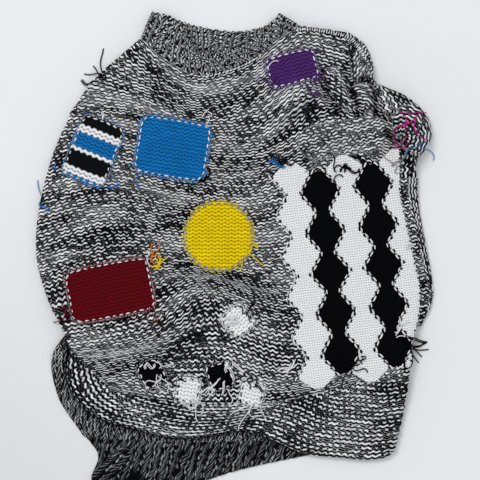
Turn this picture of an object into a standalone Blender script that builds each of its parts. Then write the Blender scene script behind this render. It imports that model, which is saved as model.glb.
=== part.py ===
"""Darned wool sweater laid flat, its sleeves tucked behind it: one solid for each piece that a knitter makes.

All tables are in millimetres: x to the right, y up to the collar, z up from the surface that it lies on.
"""

import bmesh
import bpy
import numpy as np

MM = 0.001
CENTRE = (0.702, 1.0)  # the middle of the whole garment in the tables' x and y

WALL = 3.0  # the knitted cloth
RIB_WALL = 3.4  # the ribbed collar
PATCH_WALL = 1.6
SEAM_GAP = 0.45  # between two pieces along a seam
LAYER_GAP = 1.0  # between a layer and the one that it lies on
PATCH_GAP = 0.35
SLEEVE_STACK = 5.5  # a tucked sleeve, both layers
ROLL = 12.0  # how far in from a fold the cloth starts to turn down
EDGE_INSET = 9.0  # how far the hidden layers keep inside a fold
RAMP = 75.0  # how far the body takes to come down from a tucked sleeve to the surface
STEEPEST = 1.5  # most that the wall grows, measured upright, on a slope
HEM_CLEAR = 1.5  # how far the front hem's edge stays above the back
HEM_ROLL = 7.0
COLLAR_PUFF = 3.0
BODY_WIDTH = 530.0

# The front's knitted rows, from the hem seam (share 0) to the shoulder (1):
# share, left x, left y, then y at one to four fifths of the way across, right x, right y
COURSES = (
    (0.00, -177, -196, -212, -216, -209, -186, 254, -151),
    (0.09, -209, -165, -145, -132, -157, -142, 258, -119),
    (0.13, -231, -142, -123, -75, -104, -104, 264, -99),
    (0.18, -244, -115, -96, -49, -78, -78, 268, -75),
    (0.35, -276, -48, -23, -20, -41, -35, 267, -41),
    (0.50, -287, 13, 46, 38, 20, 29, 255, 13),
    (0.65, -277, 93, 119, 102, 93, 107, 239, 86),
    (0.80, -246, 183, 197, 171, 168, 188, 238, 154),
    (0.90, -206, 249, 246, 228, 241, 246, 206, 215),
    (1.00, -135, 313, 307, 310, 325, 329, 161, 320),
)
FOLD_END = 0.15  # share below which the left edge is the fold that the hem band curls round

# The neckline, left to right: x, y
NECKLINE = (
    (-135, 313), (-110, 289), (-91, 276), (-72, 265), (-51, 257), (-17, 262),
    (20, 276), (38, 287), (59, 306), (91, 328),
)

# The collar's upper edge: share along the neckline, x, y, height of the band's top there
COLLAR_EDGE = (
    (0.00, -119, 349, 9),
    (0.15, -88, 340, 11),
    (0.28, -71, 318, 13),
    (0.40, -58, 297, 14),
    (0.50, -43, 289, 14),
    (0.62, -18, 291, 14),
    (0.74, 9, 298, 13),
    (0.85, 30, 311, 12),
    (0.93, 48, 328, 11),
    (1.00, 67, 347, 9),
)

# The back of the collar: share across, x and y of its upper edge, x and y of its seam with the back
COLLAR_BACK = (
    (0.00, -120, 347, -135, 304),
    (0.20, -83, 338, -84, 294),
    (0.40, -50, 328, -48, 290),
    (0.60, 0, 321, -8, 289),
    (0.80, 42, 328, 44, 295),
    (1.00, 68, 345, 88, 309),
)

# The outline of the right sleeve where it shows: share of the front's right edge, x, y, height of the crest
SLEEVE_OUTLINE = (
    (0.13, 279, -104, 0),
    (0.18, 285, -76, 1),
    (0.35, 287, -38, 1),
    (0.50, 278, 13, 1),
    (0.62, 268, 70, 1),
    (0.70, 266, 110, 2),
    (0.76, 266, 134, 4),
    (0.80, 285, 166, 8),
    (0.85, 277, 203, 9),
    (0.89, 247, 230, 8),
    (0.92, 206, 249, 5),
    (0.96, 201, 276, 6),
    (0.98, 190, 303, 4),
    (1.00, 165, 322, 0),
)

# The foot of the front's hem band: share along it, x, y
HEM_EDGE = (
    (0.00, -235, -139),
    (0.05, -241, -162),
    (0.11, -238, -188),
    (0.18, -220, -218),
    (0.25, -190, -238),
    (0.34, -144, -252),
    (0.44, -90, -264),
    (0.54, -32, -262),
    (0.61, 9, -255),
    (0.69, 49, -265),
    (0.78, 99, -287),
    (0.88, 154, -294),
    (0.95, 194, -297),
    (1.00, 229, -293),
)

# The back's rows, as the front's but with y at the quarters: share, left x, left y, three y, right x, right y
BACK_ROWS = (
    (0.00, -218, -264, -271, -271, -264, 223, -248),
    (0.15, -257, -200, -194, -190, -183, 238, -175),
    (0.27, -260, -139, -135, -132, -128, 246, -125),
    (0.33, -238, -107, -99, -96, -93, 252, -93),
    (0.50, -274, -12, -6, -6, -6, 242, -6),
    (0.70, -262, 107, 110, 107, 107, 226, 100),
    (0.85, -222, 203, 209, 202, 197, 206, 191),
    (0.95, -175, 262, 262, 258, 256, 176, 253),
    (1.00, -136, 301, 287, 284, 292, 148, 307),
)

# The back's hem band, from its seam (0) to its foot (1), columns as above
BACK_HEM_ROWS = (
    (0.00, -215, -266, -273, -273, -266, 223, -250),
    (0.25, -198, -287, -291, -284, -274, 223, -256),
    (0.75, -206, -328, -327, -303, -283, 222, -266),
    (1.00, -197, -347, -342, -312, -290, 219, -272),
)

# The tucked sleeves, top to cuff: y, outer x, inner x
LEFT_TUCK = (
    (250, -190, -150),
    (205, -225, -140),
    (150, -250, -132),
    (90, -268, -126),
    (30, -277, -122),
    (-35, -266, -126),
)
RIGHT_TUCK = (
    (225, 232, 196),
    (180, 262, 170),
    (120, 256, 156),
    (60, 258, 150),
    (0, 268, 150),
    (-60, 275, 154),
    (-95, 262, 160),
)
CUFF_LENGTH = 62.0
CUFF_NARROWER = 12.0

# Folds of the upper layer: x and y of each end, half width, height (a trough is negative)
FOLDS = (
    (-114, -132, -42, -23, 24, 9.0),  # the long soft ridge beside the lower left
    (-32, -110, -14, -20, 20, -3.0),
    (-222, -150, -170, -192, 15, -3.5),
    (-236, -150, -205, -215, 16, 3.5),  # the hem band curling up at the left
    (-190, -225, -90, -252, 20, 3.0),
    (-205, 128, -70, 118, 20, -2.5),
    (-190, 165, -60, 160, 26, 3.0),
    (-100, 238, 20, 232, 16, -2.5),  # the dip below the neck band
    (10, -140, 70, -143, 18, -3.0),
    (70, -190, 230, -172, 26, 2.5),
    (72, 205, 96, 236, 17, 9.0),  # folds gathered at the right shoulder
    (100, 240, 126, 222, 13, 6.0),
    (118, 212, 150, 208, 14, -4.0),
    (143, 256, 162, 216, 11, 12.0),
    (166, 262, 170, 226, 8, -7.0),
    (172, 232, 204, 220, 13, 9.0),
    (186, 292, 190, 252, 16, 7.0),
    (203, 246, 206, 208, 9, -8.0),
    (226, 205, 258, 178, 22, 13.0),
    (198, 200, 226, 166, 12, 8.0),
    (222, 172, 246, 132, 9, -7.0),
    (96, 158, 214, 196, 34, 8.0),
    (252, 150, 258, 128, 12, 6.0),
    (60, 120, 74, -40, 40, 2.5),
)

# Where the rows are dragged out of line: x, y, reach, how far in x and in y
DRAGS = (
    (92, 222, 34, 4, 15),
    (150, 190, 40, 4, 12),
    (178, 236, 26, 6, 8),
    (-60, -75, 34, 6, 9),
)

# The knitted patches: name, middle x and y, width, height, turn in degrees, sides (0 is a disc), colour
PATCHES = (
    ("patch_cobalt", -88, 152, 104, 84, -9, 4, (0.005, 0.19, 0.52)),
    ("patch_yellow", -22, 26, 100, 100, 0, 0, (0.86, 0.60, 0.0)),
    ("patch_dark_red", -178, -52, 124, 78, 11, 4, (0.22, 0.0, 0.01)),
    ("patch_purple", 84, 268, 74, 46, 14, 4, (0.08, 0.02, 0.16)),
    ("patch_striped", -202, 148, 66, 92, -22, 4, (0.01, 0.22, 0.5)),
    ("patch_small_1", -118, -172, 38, 38, 24, 4, (0.005, 0.005, 0.006)),
    ("patch_small_2", -66, -196, 36, 36, -8, 4, (0.72, 0.73, 0.75)),
    ("patch_small_3", -20, -176, 38, 38, 16, 4, (0.005, 0.005, 0.006)),
    ("patch_small_4", 26, -200, 36, 36, -14, 4, (0.72, 0.73, 0.75)),
    ("patch_small_5", 6, -96, 40, 40, 40, 4, (0.72, 0.73, 0.75)),
)
HARLEQUIN = {  # columns of diamonds: middle of the top, columns, diamonds in one, sizes, the end points, lean
    "x": 158, "y": 124, "columns": 5, "rows": 5, "pitch": 38.0, "height": 58.0, "zigzag": 9.5,
    "tip": 18.0, "tip_width": 12.0, "lean": 0.13,
}

MARL = (0.23, 0.23, 0.24)
MARL_INSIDE = (0.13, 0.13, 0.14)
HARLEQUIN_GREY = (0.4, 0.4, 0.41)


def smooth(stations, values, at):
    """A smooth curve through one row of values for each station, read at each place."""
    stations = np.asarray(stations, float)
    values = np.asarray(values, float)
    at = np.clip(np.asarray(at, float), stations[0], stations[-1])
    slopes = np.gradient(values, stations, axis=0)
    left = np.clip(np.searchsorted(stations, at, side="right") - 1, 0, len(stations) - 2)
    span = stations[left + 1] - stations[left]
    t = (at - stations[left]) / span
    if values.ndim > 1:
        t, span = t[..., None], span[..., None]
    start, end = values[left], values[left + 1]
    out, into = slopes[left] * span, slopes[left + 1] * span
    return (
        (1 + 2 * t) * (1 - t) ** 2 * start + t * (1 - t) ** 2 * out
        + t**2 * (3 - 2 * t) * end + t**2 * (t - 1) * into
    )


def ease(t):
    t = np.clip(t, 0, 1)
    return t * t * (3 - 2 * t)


def table(rows):
    """A table's first column, and the rest of it."""
    rows = np.array(rows, float)
    return rows[:, 0], rows[:, 1:]


def rows_point(rows, u, v):
    """x and y at share u across row v of a table of rows."""
    u, v = np.broadcast_arrays(np.asarray(u, float), np.asarray(v, float))
    row = smooth(*table(rows), v)
    heights = np.concatenate([row[..., 1:-2], row[..., -1:]], axis=-1)
    count = heights.shape[-1]
    weights = smooth(np.linspace(0, 1, count), np.eye(count), u)
    left, right = row[..., 0], row[..., -2]
    return left + (right - left) * u, (heights * weights).sum(axis=-1)


def drag(x, y):
    moved_x, moved_y = x.copy(), y.copy()
    for at_x, at_y, reach, by_x, by_y in DRAGS:
        share = np.exp(-((x - at_x) ** 2 + (y - at_y) ** 2) / reach**2)
        moved_x += by_x * share
        moved_y += by_y * share
    return moved_x, moved_y


def to_segment(x, y, x0, y0, x1, y1):
    """Distance from each point to a straight stretch."""
    along = ((x - x0) * (x1 - x0) + (y - y0) * (y1 - y0)) / ((x1 - x0) ** 2 + (y1 - y0) ** 2)
    along = np.clip(along, 0, 1)
    return np.hypot(x - x0 - along * (x1 - x0), y - y0 - along * (y1 - y0))


def sleeve_lift(x, y):
    """How far the body is lifted by the tucked sleeves under it."""
    lift = np.zeros_like(x)
    for rows, side in ((LEFT_TUCK, -1), (RIGHT_TUCK, 1)):
        rows = np.array(sorted(rows), float)
        inner = np.interp(y, rows[:, 0], rows[:, 2])
        foot = rows[0, 0] - CUFF_LENGTH
        across = ease(1 - ((inner - x) * side - EDGE_INSET) / RAMP)
        down = ease(1 - (foot - EDGE_INSET - y) / RAMP)
        up = ease(1 - (y - rows[-1, 0] - EDGE_INSET) / RAMP)
        lift = np.maximum(lift, (SLEEVE_STACK + LAYER_GAP) * across * down * up)
    return lift


def front_height(x, y):
    """Top of the upper layer, before its edges turn down."""
    folds = np.zeros_like(x)
    for x0, y0, x1, y1, width, height in FOLDS:
        folds += height * np.exp(-((to_segment(x, y, x0, y0, x1, y1) / width) ** 2))
    puff = 2.0 + folds
    puff = 0.5 * (puff + np.sqrt(puff**2 + 4.0))
    return sleeve_lift(x, y) + WALL + LAYER_GAP + WALL + puff


def turned_down(height, low, inward, roll=ROLL):
    """The height near a fold, where the cloth rounds over down to low at the edge itself."""
    t = np.clip(inward / roll, 0, 1)
    return low + (height - low) * np.sqrt(1 - (1 - t) ** 2)


def neck_share(u):
    """How far up each column of the front the neckline cuts it."""
    neck = np.array(NECKLINE, float)
    low, high = np.full_like(u, 0.7), np.ones_like(u)
    for _ in range(30):
        middle = (low + high) / 2
        x, y = rows_point(COURSES, u, middle)
        below = (y < smooth(neck[:, 0], neck[:, 1], x)) | (x > neck[-1, 0])
        low, high = np.where(below, middle, low), np.where(below, high, middle)
    return high


def front_low(x, y, v):
    """Height of the front's left edge: down at the surface, or up on the back where that shows beyond it."""
    on_back = WALL + LAYER_GAP + sleeve_lift(x, y)
    return WALL + 0.6 + on_back * ease((0.34 - v) / 0.1)


def front_top(u, t):
    """The front's upper face at share u across and share t of the way up to the neckline or shoulder."""
    v = t * neck_share(u)
    x, y = rows_point(COURSES, u, v)
    left, _ = rows_point(COURSES, np.zeros_like(v), v)
    right, _ = rows_point(COURSES, np.ones_like(v), v)
    x, y = drag(x, y)
    z = turned_down(front_height(x, y), front_low(x, y, v), (right - left) * u)
    beside_strip = ease((0.74 - v) / 0.1) * ease((v - 0.04) / 0.08)
    lowered = turned_down(z, z - 3.0 * beside_strip, (right - left) * (1 - u))
    return np.stack([x, y, lowered], axis=-1)


def slope_stretch(top):
    """How much longer an upright line through the cloth is than the cloth is thick."""
    normal = np.cross(np.gradient(top, axis=1), np.gradient(top, axis=0))
    length = np.maximum(np.linalg.norm(normal, axis=-1), 1e-9)
    return np.minimum(length / np.maximum(np.abs(normal[..., 2]), 1e-9), STEEPEST)


def material(name, colour, roughness=0.95):
    made = bpy.data.materials.new(name)
    made.use_nodes = True
    shader = made.node_tree.nodes["Principled BSDF"]
    shader.inputs["Base Color"].default_value = (*colour, 1)
    shader.inputs["Roughness"].default_value = roughness
    shader.inputs["Metallic"].default_value = 0
    return made


def link(name, mesh, colour):
    made = bpy.data.objects.new(name, mesh)
    mesh.materials.append(material(name, colour))
    garment.objects.link(made)
    return made


def shell_mesh(name, top, bottom):
    """A closed wall between two grids of the same shape."""
    rows, columns, _ = top.shape
    mesh = bmesh.new()
    sheets = []
    for grid in (top, bottom):
        points = (grid - (*CENTRE, 0)) * MM
        sheets.append([[mesh.verts.new(point) for point in row] for row in points])
    for j in range(rows - 1):
        for i in range(columns - 1):
            for sheet, order in ((sheets[0], 1), (sheets[1], -1)):
                a, b, c, d = sheet[j][i], sheet[j][i + 1], sheet[j + 1][i + 1], sheet[j + 1][i]
                mesh.faces.new((a, b, c)[::order])
                mesh.faces.new((a, c, d)[::order])
    rim = [(0, i) for i in range(columns - 1)] + [(j, columns - 1) for j in range(rows - 1)]
    rim += [(rows - 1, i) for i in range(columns - 1, 0, -1)] + [(j, 0) for j in range(rows - 1, 0, -1)]
    for (j, i), (k, h) in zip(rim, rim[1:] + rim[:1]):
        a, b, c, d = sheets[0][j][i], sheets[1][j][i], sheets[1][k][h], sheets[0][k][h]
        mesh.faces.new((a, b, c))
        mesh.faces.new((a, c, d))
    bmesh.ops.recalc_face_normals(mesh, faces=mesh.faces)
    data = bpy.data.meshes.new(name)
    mesh.to_mesh(data)
    mesh.free()
    return data


def cloth(name, top, colour, wall=WALL, lowest=0.3):
    """A wall of cloth under the grid of points of its upper face."""
    bottom = top.copy()
    bottom[..., 2] = np.maximum(top[..., 2] - wall * slope_stretch(top), lowest)
    return link(name, shell_mesh(name, top, bottom), colour)


def away(edge, inner, gap=SEAM_GAP):
    """The points of an edge moved off it, away from the row of points inside it."""
    along = np.gradient(edge[:, :2], axis=0)
    outward = np.stack([along[:, 1], -along[:, 0]], axis=-1)
    outward /= np.linalg.norm(outward, axis=-1, keepdims=True)
    side = np.sign((outward * (edge - inner)[:, :2]).sum(axis=-1, keepdims=True))
    moved = edge.copy()
    moved[:, :2] += outward * side * gap
    return moved


def prism(name, outline):
    """An upright cutter of the given outline."""
    mesh = bmesh.new()
    flat = [mesh.verts.new(((x - CENTRE[0]) * MM, (y - CENTRE[1]) * MM, -0.01)) for x, y in outline]
    face = mesh.faces.new(flat)
    grown = bmesh.ops.extrude_face_region(mesh, geom=[face])
    raised = [item for item in grown["geom"] if isinstance(item, bmesh.types.BMVert)]
    bmesh.ops.translate(mesh, verts=raised, vec=(0, 0, 0.12))
    bmesh.ops.recalc_face_normals(mesh, faces=mesh.faces)
    data = bpy.data.meshes.new(name)
    mesh.to_mesh(data)
    mesh.free()
    made = bpy.data.objects.new(name, data)
    made.hide_render = True
    made.hide_viewport = True
    cutters.objects.link(made)
    return made


def patch(name, panel, outline, colour):
    """A knitted patch: the panel's own points moved up off it, cut to an outline."""
    low, high = outline.min(axis=0), outline.max(axis=0)
    near = ((panel[..., :2] > low - 26) & (panel[..., :2] < high + 26)).all(axis=-1)
    rows, columns = np.flatnonzero(near.any(axis=1)), np.flatnonzero(near.any(axis=0))
    part = (slice(rows[0], rows[-1] + 1), slice(columns[0], columns[-1] + 1))
    stretch = slope_stretch(panel)[part]
    bottom = panel[part].copy()
    top = bottom.copy()
    bottom[..., 2] += PATCH_GAP * stretch
    top[..., 2] += (PATCH_GAP + PATCH_WALL) * stretch
    made = link(name, shell_mesh(name, top, bottom), colour)
    cut = made.modifiers.new("outline", "BOOLEAN")
    cut.operation = "INTERSECT"
    cut.object = prism(name + "_cutter", outline)
    return made


def patch_outline(x, y, width, height, turn, sides):
    """A disc, or a rectangle with softened corners."""
    turn = np.radians(turn)
    angles = np.linspace(0, 2 * np.pi, 20, endpoint=False)
    if sides:
        angles = np.radians([8, 37, 53, 82, 98, 127, 143, 172, 188, 217, 233, 262, 278, 307, 323, 352])
        corner = np.maximum(np.abs(np.cos(angles)), np.abs(np.sin(angles)))
        reach = np.minimum(1 / corner, 1.28)
    else:
        reach = np.ones_like(angles)
    a, b = reach * np.cos(angles) * width / 2, reach * np.sin(angles) * height / 2
    turned_a = a * np.cos(turn) - b * np.sin(turn)
    turned_b = a * np.sin(turn) + b * np.cos(turn)
    return np.stack([x + turned_a, y + turned_b], axis=-1)


def harlequin_outline():
    """Round the block of diamonds: zigzag sides, and the points of the outer and middle columns' end diamonds."""
    size = HARLEQUIN
    half = size["columns"] * size["pitch"] / 2
    deep = size["rows"] * size["height"]
    steps = np.arange(2 * size["rows"] + 1)
    zigzag = size["zigzag"] * (-1.0) ** steps
    down = steps * size["height"] / 2
    right = np.stack([half + zigzag, -down], axis=-1)
    left = np.stack([-half - zigzag, -down], axis=-1)[::-1]
    head = []
    for column in range(size["columns"]):
        middle = -half + (column + 0.5) * size["pitch"]
        wide = size["pitch"] / 2 + size["zigzag"]
        if column % 2 == 0:
            head += [(middle - size["tip_width"] / 2, size["tip"]), (middle + size["tip_width"] / 2, size["tip"])]
        else:
            head += [(middle - size["pitch"] + wide, 0), (middle + size["pitch"] - wide, 0)]
    head = np.array(head, float)
    foot = (head * (1, -1) - (0, deep))[::-1]
    local = np.concatenate([right, foot, left, head])
    x = size["x"] + local[:, 0] - size["lean"] * local[:, 1]
    y = size["y"] + local[:, 1] + size["lean"] * local[:, 0]
    return np.stack([x, y], axis=-1)


def layered_slab(name, rows, colour, height=SLEEVE_STACK, narrower=0.0):
    """Two folded layers as one rounded solid, with a groove between them along each side."""
    half = height / 2
    profile = ((-1.6, 0), (0, 0.5 * half), (-1.2, half - 0.15), (-4.5, half), (-1.2, half + 0.15),
               (0, 1.5 * half), (-1.6, height))
    mesh = bmesh.new()
    sections = []
    for y, outer, inner in rows:
        middle, reach = (outer + inner) / 2, abs(outer - inner) / 2 - narrower
        ring = [(middle + reach + a, y, z) for a, z in profile]
        ring += [(middle - reach - a, y, z) for a, z in reversed(profile)]
        sections.append([mesh.verts.new((np.array(point) - (*CENTRE, 0)) * MM) for point in ring])
    for one, other in zip(sections, sections[1:]):
        for k in range(len(one)):
            h = (k + 1) % len(one)
            mesh.faces.new((one[k], one[h], other[h], other[k]))
    mesh.faces.new(sections[0])
    mesh.faces.new(sections[-1])
    bmesh.ops.recalc_face_normals(mesh, faces=mesh.faces)
    data = bpy.data.meshes.new(name)
    mesh.to_mesh(data)
    mesh.free()
    return link(name, data, colour)


def front_grid():
    """The front's upper face: close columns where it turns down at its sides, even ones between."""
    turn = np.array([0, 0.1, 0.4, 1.0]) * ROLL / BODY_WIDTH
    u = np.concatenate([turn, np.linspace(turn[-1], 1 - turn[-1], 25)[1:-1], 1 - turn[[3, 2, 0]]])
    t = np.concatenate([[0, 0.045, 0.09, 0.14], np.linspace(0.19, 0.8, 13), np.linspace(0.84, 1, 7)])
    return front_top(*np.meshgrid(u, t)), t


def share_along(points):
    """How far along a row of points each one is, from 0 to 1."""
    steps = np.linalg.norm(np.diff(points[:, :2], axis=0), axis=-1)
    along = np.concatenate([[0], np.cumsum(steps)])
    return along / along[-1]


def strip(inner, edge, across):
    """Plan of a strip of cloth between two edges: a row of points for each share across."""
    across = np.array(across)[:, None, None]
    return inner[None, :, :2] * (1 - across) + edge[None, :, :2] * across


def front_hem_band(front, t):
    """The band round the foot of the front: up its left fold, then along its bottom row."""
    turned = 3  # the first column past the front's own turned edge
    fold_rows = np.flatnonzero(t <= FOLD_END)
    fold = away(front[fold_rows, 0], front[fold_rows, turned + 1])[::-1]
    seam = away(front[0, turned + 1 :], front[1, turned + 1 :])
    fold[-1] += seam[0] - front[0, turned + 1]
    inner = np.concatenate([fold, seam])
    edge = smooth(*table(HEM_EDGE), share_along(inner))
    across = np.array([0, 0.25, 0.5, 0.75, 0.93, 1])
    plan = strip(inner, edge, across)
    x, y = plan[..., 0], plan[..., 1]
    to_edge = np.linalg.norm(edge - inner[:, :2], axis=-1) * (1 - across[:, None])
    resting = sleeve_lift(x, y) + 2 * WALL + LAYER_GAP + HEM_CLEAR
    z = turned_down(front_height(x, y), resting, to_edge, HEM_ROLL)
    joined = ease(across / 0.5)[:, None]
    z = inner[:, 2] * (1 - joined) + z * joined
    cloth("front_hem_band", np.stack([x, y, z], axis=-1), MARL)


def sleeve_right_cap(front, v):
    """What shows of the right sleeve, from the front's right edge out to its own fold down at the surface."""
    shown = np.flatnonzero(v >= SLEEVE_OUTLINE[0][0] - 0.01)
    inner = away(front[shown, -1], front[shown, -3])
    outline = smooth(*table(SLEEVE_OUTLINE), v[shown])
    across = np.array([0, 0.2, 0.4, 0.6, 0.8, 0.94, 1.0])
    plan = strip(inner, outline, across)
    x, y = plan[..., 0], plan[..., 1]
    crest = outline[:, 2] * np.sin(np.pi * across[:, None] ** 0.8)
    to_edge = np.linalg.norm(outline[:, :2] - inner[:, :2], axis=-1) * (1 - across[:, None])
    bunched = ease((v[shown] - 0.6) / 0.15)
    flat = SLEEVE_STACK + LAYER_GAP + WALL + 0.5
    body = front_height(x, y) * bunched + flat * (1 - bunched) + crest
    z = turned_down(body, WALL + 0.6, to_edge)
    joined = ease(across / 0.3)[:, None]
    z = inner[:, 2] * (1 - joined) + z * joined
    cloth("sleeve_right_cap", np.stack([x, y, z], axis=-1), MARL)


def collar_front(front):
    """The front half of the neck band, standing up from the neckline and rounding over."""
    on_neck = np.flatnonzero(front[-1, :, 0] <= NECKLINE[-1][0] + 4)
    seam = away(front[-1, on_neck], front[-3, on_neck])
    edge = smooth(*table(COLLAR_EDGE), share_along(seam))
    across = np.array([0, 0.2, 0.45, 0.7, 0.9, 1.0])
    plan = strip(seam, edge, across)
    z = seam[:, 2] * (1 - across[:, None]) + edge[:, 2] * across[:, None]
    z += COLLAR_PUFF * np.sin(np.pi * across)[:, None]
    cloth("collar_front", np.concatenate([plan, z[..., None]], axis=-1), MARL, RIB_WALL)


def collar_back():
    """The back half of the neck band, flat on the surface, its inside showing in the neck opening."""
    rim = smooth(*table(COLLAR_BACK), np.linspace(0, 1, 15))
    plan = strip(rim[:, 2:], rim[:, :2], np.linspace(0, 1, 4))
    z = np.full(plan.shape[:2] + (1,), RIB_WALL)
    cloth("collar_back", np.concatenate([plan, z], axis=-1), MARL_INSIDE, RIB_WALL, lowest=0)


def back_panel():
    x, y = rows_point(BACK_ROWS, *np.meshgrid(np.linspace(0, 1, 17), np.linspace(0, 1, 18)))
    top = np.stack([x, y, sleeve_lift(x, y) + WALL], axis=-1)
    cloth("back_panel", top, MARL_INSIDE, lowest=0)
    return top


def back_hem_band(back):
    x, y = rows_point(BACK_HEM_ROWS, *np.meshgrid(np.linspace(0, 1, 17), np.linspace(0, 1, 5)))
    top = np.stack([x, y, np.full_like(x, WALL)], axis=-1)
    top[0] = away(back[0], back[1])
    cloth("back_hem_band", top, MARL_INSIDE, lowest=0)


def tucked_sleeve(side, rows, lean):
    """A sleeve folded away behind the body, and the cuff at its end."""
    layered_slab(f"sleeve_{side}_tucked", rows, MARL)
    end_y, outer, inner = rows[-1]
    ends = []
    for share in (0, 0.5, 1):
        y = end_y - SEAM_GAP - CUFF_LENGTH * share
        ends.append((y, outer + lean * share, inner + lean * share))
    layered_slab(f"cuff_{side}", ends, MARL, narrower=CUFF_NARROWER)


for thing in list(bpy.data.objects):
    bpy.data.objects.remove(thing)
garment = bpy.data.collections.new("darned_wool_sweater")
cutters = bpy.data.collections.new("cutters")
bpy.context.scene.collection.children.link(garment)
bpy.context.scene.collection.children.link(cutters)

back_hem_band(back_panel())
front, front_shares = front_grid()
cloth("front_panel", front, MARL)
front_hem_band(front, front_shares)
sleeve_right_cap(front, front_shares)
collar_front(front)
collar_back()
tucked_sleeve("left", LEFT_TUCK, 10)
tucked_sleeve("right", RIGHT_TUCK, -10)
for name, x, y, width, height, turn, sides, colour in PATCHES:
    patch(name, front, patch_outline(x, y, width, height, turn, sides), colour)
patch("patch_harlequin", front, harlequin_outline(), HARLEQUIN_GREY)
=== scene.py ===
"""Darned wool sweater laid flat: fine knitted cloth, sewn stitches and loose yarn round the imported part.

All tables are in millimetres, as the part's own: x to the right, y up to the collar, z up from the surface.
"""

import bpy
import numpy as np
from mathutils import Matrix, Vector


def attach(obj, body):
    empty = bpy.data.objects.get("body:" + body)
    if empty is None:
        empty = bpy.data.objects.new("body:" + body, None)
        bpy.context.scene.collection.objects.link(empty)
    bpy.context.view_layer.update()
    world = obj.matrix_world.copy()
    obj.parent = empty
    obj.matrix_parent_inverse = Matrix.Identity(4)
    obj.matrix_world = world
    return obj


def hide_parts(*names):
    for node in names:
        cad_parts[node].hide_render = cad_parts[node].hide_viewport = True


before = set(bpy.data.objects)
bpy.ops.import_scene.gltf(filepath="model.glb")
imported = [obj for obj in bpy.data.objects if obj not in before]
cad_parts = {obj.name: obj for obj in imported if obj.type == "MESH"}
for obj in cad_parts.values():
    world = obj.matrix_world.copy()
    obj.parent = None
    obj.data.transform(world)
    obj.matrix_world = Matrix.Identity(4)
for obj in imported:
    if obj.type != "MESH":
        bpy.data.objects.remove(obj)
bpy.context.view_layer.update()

# ---------------------------------------------------------------- the camera, the light and the floor
SENSOR = 36.0
VIEW_WIDTH = 0.696  # metres across the view at the surface
VIEW_DISTANCE = 1.75  # the camera's height over the surface
VIEW_MIDDLE = (0.008, 0.0193)  # the place that it looks straight down at
FLOOR_GREY = (0.85, 0.86, 0.87)
FLOOR_REACH = 6.0  # the floor's half width
SKY = (0.96, 0.98, 1.0)
SKY_STRENGTH = 0.71
WINDOW_PLACE = (-3.4, 4.2, 6.6)
WINDOW_SIZE = 3.0
WINDOW_POWER = 265.0

MM = 0.001
CENTRE = (0.702, 1.0)  # the middle of the whole garment in the tables' x and y

# ---------------------------------------------------------------- the cloth's sizes, as in the part
WALL = 3.0  # thickness of the chunky knit
RIB_WALL = 3.4  # of the ribbed bands
PATCH_WALL = 1.6  # of the patches
SEAM_GAP = 0.45  # between two pieces at a seam
LAYER_GAP = 1.0  # between two layers that lie on each other
PATCH_GAP = 0.35  # between a patch and the front
PATCH_RIM = 3.0  # how far in from its edge a patch comes up to its full wall
PATCH_LIFT = 0.25  # and how thick it is before its stitches at the edge itself
PATCH_THINNEST = 0.15
SLEEVE_STACK = 5.5  # height of a tucked sleeve's two layers
SINK = 0.1  # how far the back's plain face lies under its full wall
PUFF = 2.0  # how far level cloth puffs up
LEAST_PUFF = 0.6  # and what is left of that in the deepest crease
ROLL = 12.0  # how far in from a fold the cloth starts to round over
FOLD_TOP = WALL + 0.6  # height of the top of a folded edge
EDGE_INSET = 9.0  # how far past a tucked sleeve's edge the body is still fully lifted
RAMP = 75.0  # how far the body takes to come down beside a tucked sleeve
STEEPEST = 1.5  # a wall on a slope is measured as at most this many times its thickness
BODY_WIDTH = 530.0  # the front from side to side, along the cloth
FOLD_END = 0.15  # share up the front where the hem band's left fold ends
STRIP_TOP = 0.7  # share up the front where the strip of sleeve gives way to the bunched cap
STRIP_TAPER = 8.0  # how much narrower the strip of sleeve is at its foot
STRIP_LOWERED = 3.0  # how far the front comes down towards the strip
HEM_CLEAR = 1.5  # how far the hem's foot stands off the layer below
HEM_BULGE = 3.5  # how far the hem's right end bows out
HEM_CORNER = 13.0  # the round of the hem's right corner
HEM_END = 30.0  # length of the hem's right end that bows
HEM_ROLL = 7.0  # how far in from its foot the hem starts to round over
COLLAR_PUFF = 3.0  # how far the collar rounds up between its edges
COLLAR_HOLLOW = (-14, 40)  # where the painted shade on the inside of the collar is darkest: x, and how far that reaches
CUFF_LENGTH = 62.0
CUFF_NARROWER = 12.0  # how far a cuff is drawn in on each side
CUFF_LEAN = 10.0  # how far a cuff's foot is drawn in towards the middle
TUCK_CORNER = 1.6  # the round of a tucked sleeve's edges
TUCK_FOOT = 0.4  # how far its underside stands off the surface
TUCK_RELIEF = 0.35  # how far its rows stand up

# ---------------------------------------------------------------- the knitting
ROW = 4.8  # height of a knitted row
WALE = 9.3  # width of a stitch
PATCH_ROW = 5.3
HEM_ROWS = (7.9, 6.2)  # the hem band's rows at its left and right ends
RIB = 9.8  # from one rib of the collar to the next
RIB_ROW = 4.6
CUFF_RIB_ROW = 5.2
INSIDE_RIB = 13.5  # the wide ribs on the inside of the back's hem
INSIDE_ROW = 7.0
INSIDE_LEAN = 0.28  # how far those ribs lean
BULGE_ROW = 6.0  # rows of the bunched sleeve
STRIP_ROW = 5.0  # rows across the strip of sleeve
STRIP_TURN = 11.5  # where the strip's rows give way to yarn along its fold
FOLD_ROW = 4.4  # and the rows of that yarn
SHOULDER_CORNER = (205, 232)  # the cap's rows turn left of this x and above this y
SHOULDER_TURN = (0.47, 0.88)  # the cosine and sine of their direction there
BLOCK_ROW = 3.6  # the block of diamonds is knitted finer
BLOCK_WALE = 7.0
COLUMN_INSET = 0.35  # half the gap between two columns of diamonds
COLUMN_POINTS = 37  # across each column
BLOCK_STOP = 1.2  # the block stops this far from the front's right edge
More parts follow.
